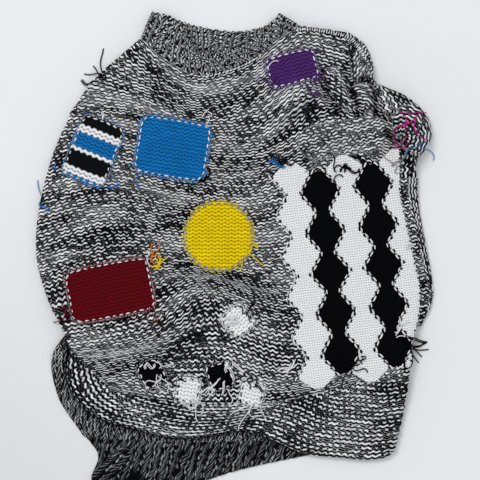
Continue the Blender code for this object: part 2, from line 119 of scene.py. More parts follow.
BLOCK_PRESSED = 0.03  # and what would reach further is pressed together this much
WAVE = 0.19  # how far a purl row waves, in rows
HEM_WAVE = 0.68  # the hem's rows wave this share of what the body's do
CHEVRON = 0.8  # how deep the V of a knit stitch is, in rows
LEAN = 0.6  # how far a leg of a knit stitch leans outwards over one row, in legs
RELIEF = 1.3  # depth of the grooves between rows
HOLE = 0.5  # how much deeper the holes between the stitches are
BODY_LIFT = 0.2  # how far the body's stitches stand over the plain cloth
BAND_LIFT = 0.3  # and those of the hem bands
COLLAR_LIFT = 0.5
HEM_RELIEF = 1.25  # the hem's grooves are this many times as deep
INSIDE_RELIEF = 1.3  # and those inside the back's hem
LEAST_DEPTH = 0.3  # the back hem's deepest groove leaves this much cloth
HOLLOW_DEPTH = 8.5  # a hollow this deep gets the full painted shade
DARKEST = 0.68  # and that painted shade is this dark
CROWN = -0.08  # the painted highlight on a crown: the lightest that it gets
EDGE_HEIGHT = 6.0  # an edge this high over the lower layer gives it the full painted shadow
# the darkest that painted shadow gets
EDGE_DARKEST = 0.85
LINES = 3  # lines of points to a row
STEPS = 8  # points to a stitch
LATTICE = (97, 89)  # random values are laid out on a grid of this size

# The front's knitted rows, from the hem seam (share 0) to the shoulder (1):
# share, left x, left y, then y at one to four fifths of the way across, right x, right y
COURSES = (
    (0.00, -177, -196, -212, -216, -209, -186, 254, -151),
    (0.09, -209, -165, -145, -132, -157, -142, 258, -119),
    (0.13, -231, -142, -123, -75, -104, -104, 264, -99),
    (0.18, -244, -115, -96, -49, -78, -78, 268, -75),
    (0.35, -276, -48, -23, -20, -41, -35, 267, -41),
    (0.50, -287, 13, 46, 38, 20, 29, 255, 13),
    (0.65, -277, 93, 119, 102, 93, 107, 239, 86),
    (0.80, -246, 183, 197, 171, 168, 188, 238, 154),
    (0.90, -206, 249, 246, 228, 241, 246, 206, 215),
    (1.00, -135, 313, 307, 310, 325, 329, 161, 320),
)

# The neckline, left to right: x, y
NECKLINE = (
    (-135, 313), (-110, 289), (-91, 276), (-72, 265), (-51, 257), (-17, 262),
    (20, 276), (38, 287), (59, 306), (91, 328),
)

# The collar's upper edge: share along the neckline, x, y, height of the band's top there
COLLAR_EDGE = (
    (0.00, -119, 349, 9),
    (0.15, -88, 340, 11),
    (0.28, -71, 318, 13),
    (0.40, -58, 297, 14),
    (0.50, -43, 289, 14),
    (0.62, -18, 291, 14),
    (0.74, 9, 298, 13),
    (0.85, 30, 311, 12),
    (0.93, 48, 328, 11),
    (1.00, 67, 347, 9),
)

# The back of the collar: share across, x and y of its upper edge, x and y of its seam with the back
COLLAR_BACK = (
    (0.00, -120, 347, -135, 304),
    (0.20, -83, 338, -84, 294),
    (0.40, -50, 328, -48, 290),
    (0.60, 0, 321, -8, 289),
    (0.80, 42, 328, 44, 295),
    (1.00, 68, 345, 88, 309),
)

# The outline of the right sleeve where it shows: share of the front's right edge, x, y, height of the crest
SLEEVE_OUTLINE = (
    (0.13, 279, -104, 0),
    (0.18, 285, -76, 1),
    (0.35, 287, -38, 1),
    (0.50, 278, 13, 1),
    (0.62, 268, 70, 1),
    (0.70, 266, 110, 2),
    (0.76, 266, 134, 4),
    (0.80, 285, 166, 8),
    (0.85, 277, 203, 9),
    (0.89, 247, 230, 8),
    (0.92, 206, 249, 5),
    (0.96, 201, 276, 6),
    (0.98, 190, 303, 4),
    (1.00, 165, 322, 0),
)

# The foot of the front's hem band: share along it, x, y
HEM_EDGE = (
    (0.00, -235, -139),
    (0.05, -241, -162),
    (0.11, -238, -188),
    (0.18, -220, -218),
    (0.25, -190, -238),
    (0.34, -144, -252),
    (0.44, -90, -264),
    (0.54, -32, -262),
    (0.61, 9, -255),
    (0.69, 49, -265),
    (0.78, 99, -287),
    (0.88, 154, -294),
    (0.95, 194, -297),
    (1.00, 229, -293),
)

# The back's rows, as the front's but with y at the quarters:
# share, left x, left y, three y, right x, right y
BACK_ROWS = (
    (0.00, -218, -264, -271, -271, -264, 223, -248),
    (0.15, -257, -200, -194, -190, -183, 238, -175),
    (0.27, -260, -139, -135, -132, -128, 246, -125),
    (0.33, -238, -107, -99, -96, -93, 252, -93),
    (0.50, -274, -12, -6, -6, -6, 242, -6),
    (0.70, -262, 107, 110, 107, 107, 226, 100),
    (0.85, -222, 203, 209, 202, 197, 206, 191),
    (0.95, -175, 262, 262, 258, 256, 176, 253),
    (1.00, -136, 301, 287, 284, 292, 148, 307),
)

# The back's hem band, from its seam (0) to its foot (1), columns as above
BACK_HEM_ROWS = (
    (0.00, -215, -266, -273, -273, -266, 223, -250),
    (0.25, -198, -287, -291, -284, -274, 223, -256),
    (0.75, -206, -328, -327, -303, -283, 222, -266),
    (1.00, -197, -347, -342, -312, -290, 219, -272),
)

# The tucked sleeves, top to cuff: y, outer x, inner x
LEFT_TUCK = (
    (250, -190, -150),
    (205, -225, -140),
    (150, -250, -132),
    (90, -268, -126),
    (30, -277, -122),
    (-35, -266, -126),
)
RIGHT_TUCK = (
    (225, 232, 196),
    (180, 262, 170),
    (120, 256, 156),
    (60, 258, 150),
    (0, 268, 150),
    (-60, 275, 154),
    (-95, 262, 160),
)

# Folds of the upper layer: x and y of each end, half width, height (a trough is negative)
FOLDS = (
    (-114, -132, -42, -23, 24, 9.0),
    (-32, -110, -14, -20, 20, -3.0),
    (-222, -150, -170, -192, 15, -3.5),
    (-236, -150, -205, -215, 16, 3.5),
    (-190, -225, -90, -252, 20, 3.0),
    (-205, 128, -70, 118, 20, -2.5),
    (-190, 165, -60, 160, 26, 3.0),
    (-100, 238, 20, 232, 16, -2.5),
    (10, -140, 70, -143, 18, -3.0),
    (70, -190, 230, -172, 26, 2.5),
    (72, 205, 96, 236, 17, 9.0),
    (100, 240, 126, 222, 13, 6.0),
    (118, 212, 150, 208, 14, -4.0),
    (143, 256, 162, 216, 11, 12.0),
    (166, 262, 170, 226, 8, -7.0),
    (172, 232, 204, 220, 13, 9.0),
    (186, 292, 190, 252, 16, 7.0),
    (203, 246, 206, 208, 9, -8.0),
    (226, 205, 258, 178, 22, 13.0),
    (198, 200, 226, 166, 12, 8.0),
    (222, 172, 246, 132, 9, -7.0),
    (96, 158, 214, 196, 34, 8.0),
    (252, 150, 258, 128, 12, 6.0),
    (60, 120, 74, -40, 40, 2.5),
)

# Sharp creases between the folds, as above
CREASES = (
    (128, 258, 137, 222, 4.5, -7.0),
    (137, 222, 150, 204, 4.0, -6.0),
    (160, 266, 166, 240, 4.0, -8.0),
    (166, 240, 178, 214, 4.0, -6.0),
    (168, 296, 166, 250, 5.0, -7.0),
    (168, 247, 184, 251, 3.5, -6.0),
    (184, 251, 202, 246, 3.5, -6.0),
    (203, 252, 202, 204, 4.0, -8.0),
    (220, 175, 246, 134, 5.5, -10.0),
    (202, 199, 222, 192, 5.0, -8.0),
    (248, 187, 268, 178, 7.0, -5.0),
    (40, 216, 88, 200, 9.0, -3.5),
    (88, 200, 112, 214, 6.0, -4.0),
    (-20, -100, -6, -52, 6.0, -2.0),
    (-196, -140, -160, -196, 7.0, -4.5),
    (-160, -196, -120, -206, 8.0, -3.0),
)

# Lobes of bunched cloth whose rows run another way: x and y of each end, half width,
# and the rows' direction or the middle that they curve round
LOBES = (
    (144, 256, 163, 219, 14, -32, None),
    (184, 300, 188, 262, 19, 62, None),
    (118, 160, 192, 172, 25, 15, None),
    (181, 228, 189, 219, 17, 0, (181, 199)),
)
CAP_LOBES = ((252, 188, 264, 170, 26, 0, (238, 166)),)
HEM_LOBES = ((-203, -335, -160, -293, 13, -45, None),)
HEM_CURL = (11.0, 4.0)  # half width and height of the hem's curled corner, along its lobe
HEM_HOLLOW = (-154, -332, -140, -322)  # the hollow behind that corner, painted dark as shade: x and y of each end
HEM_HOLLOW_WIDTH = 8.0

# Where the rows are dragged out of line: x, y, reach, how far in x and in y
DRAGS = (
    (92, 222, 34, 4, 15),
    (150, 190, 40, 4, 12),
    (178, 236, 26, 6, 8),
    (-60, -75, 34, 6, 9),
)

# The knitted patches: name, middle x and y, width, height, turn in degrees, sides (0 is a disc), yarn
PATCHES = (
    ("patch_cobalt", -88, 152, 104, 84, -9, 4, "cobalt"),
    ("patch_yellow", -22, 26, 100, 100, 0, 0, "yellow"),
    ("patch_dark_red", -178, -52, 124, 78, 11, 4, "dark_red"),
    ("patch_purple", 84, 268, 74, 46, 14, 4, "purple"),
    ("patch_striped", -202, 148, 66, 92, -22, 4, "striped"),
    ("patch_small_1", -118, -172, 38, 38, 24, 4, "black"),
    ("patch_small_2", -66, -196, 36, 36, -8, 4, "white"),
    ("patch_small_3", -20, -176, 38, 38, 16, 4, "black"),
    ("patch_small_4", 26, -200, 36, 36, -14, 4, "white"),
    ("patch_small_5", 6, -96, 40, 40, 40, 4, "white"),
)
HARLEQUIN = {
    "x": 158, "y": 124, "columns": 5, "rows": 5, "pitch": 38.0, "height": 58.0, "zigzag": 9.5,
    "tip": 18.0, "tip_width": 12.0, "lean": 0.13,
}

YARNS = {
    "white": (0.9, 0.91, 0.93),
    "black": (0.0025, 0.0025, 0.003),
    "cobalt": (0.004, 0.16, 0.47),
    "yellow": (0.95, 0.65, 0.001),
    "dark_red": (0.125, 0.001, 0.005),
    "purple": (0.075, 0.022, 0.15),
    "magenta": (0.55, 0.01, 0.24),
    "orange": (0.8, 0.22, 0.02),
    "grey": (0.27, 0.28, 0.31),
}
MARL_BLACK = (0.003, 0.003, 0.004)

# Loose ends: yarn, x and y of the knot, heading and spread in degrees, how many, length,
# and how far they bend
LOOSE_ENDS = (
    ("black", -226, 208, 130, 40, 2, 18, 0.9),
    ("black", -190, 256, 150, 60, 4, 34, 0.7),
    ("cobalt", -258, 122, 100, 30, 1, 18, 0.5),
    ("cobalt", -276, 72, 108, 30, 2, 24, 0.7),
    ("white", -186, 194, 70, 80, 1, 20, 0.9),
    ("cobalt", -176, 104, -70, 70, 2, 24, 1.0),
    ("white", -44, 190, 30, 70, 3, 22, 0.9),
    ("cobalt", -136, 112, -120, 60, 2, 24, 0.9),
    ("black", -40, 118, -60, 50, 3, 30, 0.9),
    ("orange", -118, -8, 60, 80, 4, 26, 1.1),
    ("yellow", -114, -14, 20, 80, 4, 26, 1.1),
    ("white", -124, -10, 100, 50, 2, 20, 0.8),
    ("dark_red", -236, -84, 200, 60, 4, 24, 1.0),
    ("dark_red", -122, -76, -50, 50, 3, 24, 1.0),
    ("grey", -48, -16, -110, 60, 3, 24, 1.0),
    ("yellow", 18, -6, -50, 60, 3, 26, 0.9),
    ("white", -108, -176, -75, 50, 4, 38, 1.4),
    ("white", -112, -158, -60, 30, 3, 30, 1.2),
    ("white", -62, -208, -60, 60, 5, 40, 1.2),
    ("black", -72, -186, 150, 60, 3, 28, 1.2),
    ("white", -18, -184, -100, 60, 4, 36, 1.4),
    ("white", -12, -162, -70, 40, 4, 30, 1.2),
    ("white", 30, -210, -110, 60, 5, 36, 1.2),
    ("black", 26, -192, 30, 60, 3, 28, 1.2),
    ("white", 0, -96, 190, 70, 5, 34, 1.2),
    ("black", 12, -86, 60, 60, 4, 28, 1.2),
    ("purple", 112, 256, -20, 90, 5, 30, 1.0),
    ("purple", 56, 252, 250, 60, 4, 26, 1.1),
    ("white", 62, 280, 160, 50, 2, 20, 0.9),
    ("black", 156, 120, 110, 80, 5, 32, 1.7),
    ("black", 62, 122, 120, 80, 4, 24, 1.2),
    ("cobalt", 68, 128, 165, 60, 2, 22, 1.0),
    ("grey", 112, 122, 60, 60, 3, 24, 1.2),
    ("black", 176, -158, 200, 120, 7, 36, 2.2),
    ("black", 244, -122, -48, 76, 7, 44, 0.8),
    ("white", 236, -116, 30, 70, 4, 24, 1.0),
    ("white", 250, 12, 20, 60, 3, 16, 0.9),
    ("white", 84, -160, -110, 70, 4, 28, 1.0),
    ("magenta", 234, 196, -30, 40, 2, 46, 0.9),
    ("magenta", 262, 196, -120, 40, 2, 50, 1.1),
    ("magenta", 236, 156, 40, 50, 3, 40, 1.0),
    ("cobalt", 272, 160, -50, 60, 2, 32, 1.8),
    ("grey", 226, 130, 60, 60, 3, 24, 1.2),
)
LOOSE_THICKNESS = {"black": 0.0018, "cobalt": 0.0013, "purple": 0.0013, "magenta": 0.0014}
OTHER_THICKNESS = 0.0015

# The chain of small upright stitches along the shoulder's top: x and y
SHOULDER_CHAIN = ((92, 324), (113, 324.5), (140, 320), (158, 315.5), (171, 307.5), (180, 296), (186, 281))


# ---------------------------------------------------------------- shapes, as in the part
def smooth(stations, values, at):
    """A smooth curve through one row of values for each station, read at each place."""
    stations = np.asarray(stations, float)
    values = np.asarray(values, float)
    at = np.clip(np.asarray(at, float), stations[0], stations[-1])
    slopes = np.gradient(values, stations, axis=0)
    left = np.clip(np.searchsorted(stations, at, side="right") - 1, 0, len(stations) - 2)
    span = stations[left + 1] - stations[left]
    t = (at - stations[left]) / span
    if values.ndim > 1:
        t, span = t[..., None], span[..., None]
    start, end = values[left], values[left + 1]
    out, into = slopes[left] * span, slopes[left + 1] * span
    return (
        (1 + 2 * t) * (1 - t) ** 2 * start + t * (1 - t) ** 2 * out
        + t**2 * (3 - 2 * t) * end + t**2 * (t - 1) * into
    )


def ease(t):
    t = np.clip(t, 0, 1)
    return t * t * (3 - 2 * t)


def table(rows):
    """A table's first column, and the rest of it."""
    rows = np.array(rows, float)
    return rows[:, 0], rows[:, 1:]


def row_ends(rows, v):
    """x of the left and right end of row v."""
    row = smooth(*table(rows), v)
    return row[..., 0], row[..., -2]


def rows_point(rows, u, v):
    """x and y at share u across row v of a table of rows."""
    u, v = np.broadcast_arrays(np.asarray(u, float), np.asarray(v, float))
    row = smooth(*table(rows), v)
    heights = np.concatenate([row[..., 1:-2], row[..., -1:]], axis=-1)
    count = heights.shape[-1]
    weights = smooth(np.linspace(0, 1, count), np.eye(count), u)
    left, right = row[..., 0], row[..., -2]
    return left + (right - left) * u, (heights * weights).sum(axis=-1)


def drag(x, y):
    moved_x, moved_y = x.copy(), y.copy()
    for at_x, at_y, reach, by_x, by_y in DRAGS:
        share = np.exp(-((x - at_x) ** 2 + (y - at_y) ** 2) / reach**2)
        moved_x += by_x * share
        moved_y += by_y * share
    return moved_x, moved_y


def to_segment(x, y, x0, y0, x1, y1):
    """Distance from each point to a straight stretch."""
    along = ((x - x0) * (x1 - x0) + (y - y0) * (y1 - y0)) / ((x1 - x0) ** 2 + (y1 - y0) ** 2)
    along = np.clip(along, 0, 1)
    return np.hypot(x - x0 - along * (x1 - x0), y - y0 - along * (y1 - y0))


def sleeve_lift(x, y):
    """How far the body is lifted by the tucked sleeves under it."""
    lift = np.zeros_like(x)
    for rows, side in ((LEFT_TUCK, -1), (RIGHT_TUCK, 1)):
        rows = np.array(sorted(rows), float)
        inner = np.interp(y, rows[:, 0], rows[:, 2])
        foot = rows[0, 0] - CUFF_LENGTH
        across = ease(1 - ((inner - x) * side - EDGE_INSET) / RAMP)
        down = ease(1 - (foot - EDGE_INSET - y) / RAMP)
        up = ease(1 - (y - rows[-1, 0] - EDGE_INSET) / RAMP)
        lift = np.maximum(lift, (SLEEVE_STACK + LAYER_GAP) * across * down * up)
    return lift


def swelling(x, y, x0, y0, x1, y1, width):
    """1 on a straight stretch, less and less away from it."""
    return np.exp(-((to_segment(x, y, x0, y0, x1, y1) / width) ** 2))


def folded(height, x, y, folds):
    """The height with a table's folds or creases added."""
    for *stretch, width, rise in folds:
        height = height + rise * swelling(x, y, *stretch, width)
    return height


def front_height(x, y):
    """Top of the upper layer, before its edges turn down."""
    puff = PUFF + folded(np.zeros_like(x), x, y, FOLDS)
    puff = 0.5 * (puff + np.sqrt(puff**2 + PUFF**2))
    puff = np.maximum(folded(puff, x, y, CREASES), LEAST_PUFF)
    return sleeve_lift(x, y) + WALL + LAYER_GAP + WALL + puff


def turned_down(height, low, inward, roll=ROLL):
    """The height near a fold, where the cloth rounds over down to low at the edge itself."""
    t = np.clip(inward / roll, 0, 1)
    return low + (height - low) * np.sqrt(1 - (1 - t) ** 2)


def neck_share(u):
    """How far up each column of the front the neckline cuts it."""
    neck = np.array(NECKLINE, float)
    low, high = np.full_like(u, 0.7), np.ones_like(u)
    for _ in range(30):
        middle = (low + high) / 2
        x, y = rows_point(COURSES, u, middle)
        below = (y < smooth(neck[:, 0], neck[:, 1], x)) | (x > neck[-1, 0])
        low, high = np.where(below, middle, low), np.where(below, high, middle)
    return high


def front_low(x, y, v):
    """Height of the front's left edge: down at the surface, or up on the back where that shows beyond it."""
    on_back = WALL + LAYER_GAP + sleeve_lift(x, y)
    return FOLD_TOP + on_back * ease((0.34 - v) / 0.1)


def front_point(u, neck, t):
    """The front's upper face at share u across and share t up to the neckline, whose share there is neck."""
    v = t - (1 - neck) * t**2
    x, y = rows_point(COURSES, u, v)
    left, right = row_ends(COURSES, v)
    x, y = drag(x, y)
    z = turned_down(front_height(x, y), front_low(x, y, v), (right - left) * u)
    beside_strip = ease((0.74 - v) / 0.1) * ease((v - 0.04) / 0.08)
    lowered = turned_down(z, z - STRIP_LOWERED * beside_strip, (right - left) * (1 - u))
    return np.stack([x, y, lowered], axis=-1)


def face_normals(grid):
    """The direction that a grid of points faces at each of them."""
    normal = np.cross(np.gradient(grid, axis=1), np.gradient(grid, axis=0))
    return normal / np.maximum(np.linalg.norm(normal, axis=-1, keepdims=True), 1e-9)


def away(edge, inner, gap=SEAM_GAP):
    """The points of an edge moved off it, away from the row of points inside it."""
    along = np.gradient(edge[:, :2], axis=0)
    outward = np.stack([along[:, 1], -along[:, 0]], axis=-1)
    outward /= np.maximum(np.linalg.norm(outward, axis=-1, keepdims=True), 1e-9)
    side = np.sign((outward * (edge - inner)[:, :2]).sum(axis=-1, keepdims=True))
    moved = edge.copy()
    moved[:, :2] += outward * side * gap
    return moved


def share_along(points):
    """How far along a row of points each one is, from 0 to 1."""
    steps = np.linalg.norm(np.diff(points[:, :2], axis=0), axis=-1)
    along = np.concatenate([[0], np.cumsum(steps)])
    return along / along[-1]


def resampled(points, count):
    """The same line with count points, evenly spaced."""
    at = share_along(points)
    even = np.linspace(0, 1, count)
    return np.stack([np.interp(even, at, points[:, k]) for k in range(points.shape[1])], axis=-1)


# ---------------------------------------------------------------- knitting
def ripple(x, y, seed):
    """Smooth random values from -1 to 1, the same on each run."""
    lattice = np.random.default_rng(seed).uniform(-1, 1, LATTICE)
    i, j = np.floor(x).astype(int), np.floor(y).astype(int)
    a, b = ease(x - i), ease(y - j)

    def at(over, up):
        return lattice[(i + over) % LATTICE[0], (j + up) % LATTICE[1]]

    return (at(0, 0) * (1 - a) + at(1, 0) * a) * (1 - b) + (at(0, 1) * (1 - a) + at(1, 1) * a) * b


def from_whole(value):
    """Signed distance to the nearest whole number."""
    return value - np.round(value)


def row_shift(side, wale, row, seed=5):
    """How far the yarn of a row stands above its own line, in rows."""
    drift = 0.22 * ripple(wale * 0.21, row * 0.17, seed + 3)
    if side == "purl":
        close, wide = ripple(wale * 0.8, row * 0.9, seed), ripple(wale * 0.13, row * 0.2, seed + 5)
        strength = 1 + 0.45 * close + 0.25 * wide
        turn = 2 * np.pi * (wale + drift)
        wave = WAVE * strength * (np.cos(turn) - 0.12 * np.cos(3 * turn))
        return wave + 0.07 * ripple(wale * 0.4, row * 0.6, seed + 1)
    legs = 2 * np.abs(from_whole(wale if side == "rib" else wale + 0.5)) - 0.5
    chevron = CHEVRON * legs * (1 + 0.3 * ripple(wale, row, seed))
    return chevron + 0.15 * ripple(wale * 1.1, row * 0.8, seed + 1)


def stitch_height(side, wale, row, seed=5):
    """Height of the yarn's face, in millimetres: 0 at the top of a stitch, less in a groove."""
    uneven = 0.22 * ripple(wale * 1.7, row * 1.1, seed + 2)
    if side == "purl":
        across = from_whole(row)
        hump = np.sqrt(np.clip(1 - (2 * across) ** 2, 0, 1))
        crossing = 0.5 - 0.5 * np.cos(4 * np.pi * wale)
        return RELIEF * (hump * (1 - 0.2 * crossing) - 1) - HOLE * (1 - hump) * (1 - crossing) + uneven
    outward = np.where(np.floor(2 * wale) % 2 == (side == "knit"), 1, -1)
    across = np.mod(2 * wale, 1) - 0.5 - LEAN * outward * from_whole(row)
    leg = np.sqrt(np.clip(1 - (2 * across) ** 2, 0, 1))
    face = RELIEF * (leg * (0.75 + 0.25 * np.cos(2 * np.pi * row)) - 1) + uneven
    if side == "rib":
        face -= 1.4 * ease((np.abs(from_whole(wale)) - 0.28) / 0.22)
    return face


def ring_mean(height, x, y, reach):
    """The height all round a place."""
    turns = np.linspace(0, 2 * np.pi, 8, endpoint=False)
    return sum(height(x + reach * np.cos(turn), y + reach * np.sin(turn)) for turn in turns) / len(turns)


def crease_shade(x, y):
    """Painted shade at a place: more than 0 in a hollow of the folds, where shadow falls, less on a crown, as
    a painted highlight.
    """
    own = front_height(x, y)
    hollow = 0.5 * (ring_mean(front_height, x, y, 5.0) + ring_mean(front_height, x, y, 10.0)) - own
    return np.clip(hollow / HOLLOW_DEPTH, CROWN, DARKEST)


def edge_shade(x, y):
    """Painted shadow on the lower layer beside the edge of the cloth on top of it: how dark it is there."""
    around = 0.5 * (ring_mean(cloth_ground.at, x, y, 2.0) + ring_mean(cloth_ground.at, x, y, 6.0))
    return np.clip(around / EDGE_HEIGHT, 0, EDGE_DARKEST)


def lobed(x, y, wale, row, height, lobes, side="purl", size=(WALE, ROW)):
    """The same stitches, with the rows of each lobe turned their own way."""
    for x0, y0, x1, y1, width, direction, centre in lobes:
        inside = to_segment(x, y, x0, y0, x1, y1) < width
        if centre:
            from_x, from_y = x - centre[0], y - centre[1]
            over, up = np.arctan2(from_x, from_y) * width, np.hypot(from_x, from_y)
        else:
            turn = np.radians(direction)
            over, up = x * np.cos(turn) + y * np.sin(turn), y * np.cos(turn) - x * np.sin(turn)
        over, up = over / size[0], up / size[1]
        up = up - row_shift(side, over, up, 81)
        wale, row = np.where(inside, over, wale), np.where(inside, up, row)
        height = np.where(inside, stitch_height(side, over, up, 81), height)
    return wale, row, height


def stitched(name, top, plain, coordinates, wall, yarn, coarse=(LINES, STEPS), lowest=0.3, inside=None):
    """A closed cloth: a fine upper face, and a plain underside on every few of its points.

    top and plain are grids of points with and without the stitches. coordinates are the wale, the row
    and, where there is one, the painted shade.
    """
    if np.cross(plain[0, -1] - plain[0, 0], plain[-1, 0] - plain[0, 0])[2] < 0:
        top, plain, coordinates = top[:, ::-1], plain[:, ::-1], coordinates[:, ::-1]
    rows, columns, _ = top.shape
    pick_rows = np.unique(np.append(np.arange(0, rows, coarse[0]), rows - 1))
    pick_columns = np.unique(np.append(np.arange(0, columns, coarse[1]), columns - 1))
    normal = face_normals(plain)
    picked = np.ix_(pick_rows, pick_columns)
    bottom = plain[picked].copy()
    stretch = np.minimum(1 / np.maximum(np.abs(normal[..., 2]), 1e-9), STEEPEST)[picked]
    bottom[..., 2] = np.maximum(bottom[..., 2] - wall * stretch, lowest)
    upper = np.arange(rows * columns).reshape(rows, columns)
    lower = rows * columns + np.arange(bottom.shape[0] * bottom.shape[1]).reshape(bottom.shape[:2])

    def quads(index):
        corners = [index[:-1, :-1], index[:-1, 1:], index[1:, 1:], index[1:, :-1]]
        return np.stack(corners, axis=-1).reshape(-1, 4)

    rim = []
    sides = (
        (upper[0], lower[0], pick_columns),
        (upper[:, -1], lower[:, -1], pick_rows),
        (upper[-1][::-1], lower[-1][::-1], (columns - 1 - pick_columns)[::-1]),
        (upper[:, 0][::-1], lower[:, 0][::-1], (rows - 1 - pick_rows)[::-1]),
    )
    for fine, few, places in sides:
        for k in range(len(places) - 1):
            for at in range(places[k], places[k + 1]):
                rim.append((fine[at + 1], fine[at], few[k]))
            rim.append((few[k], few[k + 1], fine[places[k + 1]]))
    points = np.concatenate([top.reshape(-1, 3), bottom.reshape(-1, 3)])
    faces = [quads(upper), quads(lower)[:, ::-1], np.array(rim)]
    marks = np.concatenate([part.reshape(-1, part.shape[-1]) for part in (coordinates, coordinates[picked])])
    return mesh_piece(name, points, faces, marks, [yarn, inside or yarn], len(faces[0]))


def mesh_piece(name, points, faces, marks, yarns, uppers):
    """A mesh object from points in millimetres, and arrays of quads and triangles."""
    mesh = bpy.data.meshes.new(name)
    points = (points - (*CENTRE, 0)) * MM
    loops = np.concatenate([group.reshape(-1) for group in faces])
    sizes = np.concatenate([np.full(len(group), group.shape[1]) for group in faces])
    mesh.vertices.add(len(points))
    mesh.vertices.foreach_set("co", points.astype(np.float32).reshape(-1))
    mesh.loops.add(len(loops))
    mesh.loops.foreach_set("vertex_index", loops.astype(np.int32))
    mesh.polygons.add(len(sizes))
    mesh.polygons.foreach_set("loop_start", np.concatenate([[0], np.cumsum(sizes)[:-1]]).astype(np.int32))
    for yarn in dict.fromkeys(yarns):
        mesh.materials.append(yarn)
    if yarns[-1] is not yarns[0]:
        slots = np.zeros(len(sizes), np.int32)
        slots[uppers:] = 1
        mesh.polygons.foreach_set("material_index", slots)
    mesh.update(calc_edges=True)
    mesh.shade_smooth()
    stitch = mesh.attributes.new("stitch", "FLOAT_VECTOR", "POINT")
    values = np.zeros((len(points), 3), np.float32)
    values[:, : marks.shape[1]] = marks
    stitch.data.foreach_set("vector", values.reshape(-1))
    mesh.validate()
    made = bpy.data.objects.new(name, mesh)
    bpy.context.scene.collection.objects.link(made)
    return made


# ---------------------------------------------------------------- materials
class Flow:
    """A socket in a material. An expression on these adds its Math nodes."""

    def __init__(self, tree, socket):
        self.tree, self.socket = tree, socket

    def add(self, kind, settings=(), inputs=(), output=0):
        """Any other node: its type, its settings, and the values or links of its sockets."""
        node = self.tree.nodes.new("ShaderNode" + kind)
        for name, value in dict(settings).items():
            if name == "stops":
                ramp = node.color_ramp
                while len(ramp.elements) < len(value):
                    ramp.elements.new(1.0)
                for stop, (place, colour) in zip(ramp.elements, value):
                    stop.position, stop.color = place, colour
            elif name == "interpolation":
                node.color_ramp.interpolation = value
            else:
                setattr(node, name, value)
        for name, value in dict(inputs).items():
            if isinstance(value, Flow):
                self.tree.links.new(value.socket, node.inputs[name])
            else:
                node.inputs[name].default_value = value
        return Flow(self.tree, node.outputs[output])

    def math(self, operation, *values, clamp=False):
        return self.add("Math", {"operation": operation, "use_clamp": clamp}, enumerate(values))

    def __add__(self, other):
        return self.math("ADD", self, other)

    def __sub__(self, other):
        return self.math("SUBTRACT", self, other)

    def __rsub__(self, other):
        return self.math("SUBTRACT", other, self)

    def __mul__(self, other):
        return self.math("MULTIPLY", self, other)

    def __truediv__(self, other):
        return self.math("DIVIDE", self, other)

    def __abs__(self):
        return self.math("ABSOLUTE", self)

    __radd__, __rmul__ = __add__, __mul__

    def sine(self):
        return self.math("SINE", self)

    def clamped(self):
        return self.math("ADD", self, 0.0, clamp=True)

    def step(self, low, high):
        """0 below low, 1 above high, eased between."""
        return self.add("MapRange", {"interpolation_type": "SMOOTHSTEP"}, {0: self, 1: low, 2: high})

    def place(self, x, y, z=0.0):
        return self.add("CombineXYZ", (), {0: x, 1: y, 2: z})

    def cloudy(self, vector, scale, detail=1.0):
        return self.add("TexNoise", (), {"Vector": vector, "Scale": scale, "Detail": detail})

    def blend(self, share, first, second):
        """A colour between two others."""
        return self.add("Mix", {"data_type": "RGBA"}, {0: share, 6: first, 7: second}, 2)


def opaque(colour):
    return (*colour, 1.0)


def shade_of(colour, share, most=2.0):
    """A colour made darker or lighter, with no part over most."""
    return tuple(min(most, part * share) for part in colour)


def start_material(name, sheen=0.06):
    """A matt, woolly material, with nothing on its colour yet."""
    made = bpy.data.materials.new(name)
    made.use_nodes = True
    shader = made.node_tree.nodes["Principled BSDF"]
    shader.inputs["Metallic"].default_value = 0.0
    shader.inputs["Roughness"].default_value = 0.93
    shader.inputs["Specular IOR Level"].default_value = 0.04
    shader.inputs["Sheen Weight"].default_value = sheen
    shader.inputs["Sheen Roughness"].default_value = 0.55
    return made, Flow(made.node_tree, None), shader


def connect(flow, shader, colour, height, strength=0.5, distance=0.0006):
    """Gives the shader its colour and the fine relief of the yarn."""
    bump = flow.add("Bump", (), {"Strength": strength, "Distance": distance, "Height": height})
    flow.tree.links.new(colour.socket, shader.inputs["Base Color"])
    flow.tree.links.new(bump.socket, shader.inputs["Normal"])


def stitch_places(flow, side):
    """How far along its yarn a point lies, the number of that yarn, how far across it, and its row."""
    marks = flow.add("Attribute", {"attribute_name": "stitch"}, (), "Vector")
    wale = flow.add("SeparateXYZ", (), {0: marks})
    row = Flow(wale.tree, wale.socket.node.outputs[1])
    if side == "purl":
        number = flow.math("ROUND", row)
        return wale, number, row - number, row
    number = flow.math("FLOOR", wale * 2.0)
    odd = number - flow.math("FLOOR", number * 0.5) * 2.0
    outward = (odd * 2.0 - 1.0) if side == "knit" else (1.0 - odd * 2.0)
    climb = row - flow.math("ROUND", row)
    return row, number, wale * 2.0 - number - 0.5 - outward * climb * LEAN, wale


def crease_dark(flow):
    """The painted shade that each piece carries beside its wales and rows: more than 0 in hollows and beside
    edges, less than 0 as a painted highlight on crowns.
    """
    marks = flow.add("Attribute", {"attribute_name": "stitch"}, (), "Vector")
    return flow.add("SeparateXYZ", (), {0: marks}, 2)


def groove(side, across, along, wale):
    """How deep a point lies between the yarns, from 0 to 1."""
    deep = abs(across).step(0.24, 0.47)
    if side != "purl":
        deep = flow_max(deep, abs(along - along.math("ROUND", along)).step(0.2, 0.5) * 0.88)
    if side == "rib":
        deep = flow_max(deep, abs(wale - wale.math("ROUND", wale)).step(0.26, 0.5))
    return deep


def flow_max(one, other):
    return one.math("MAXIMUM", one, other)


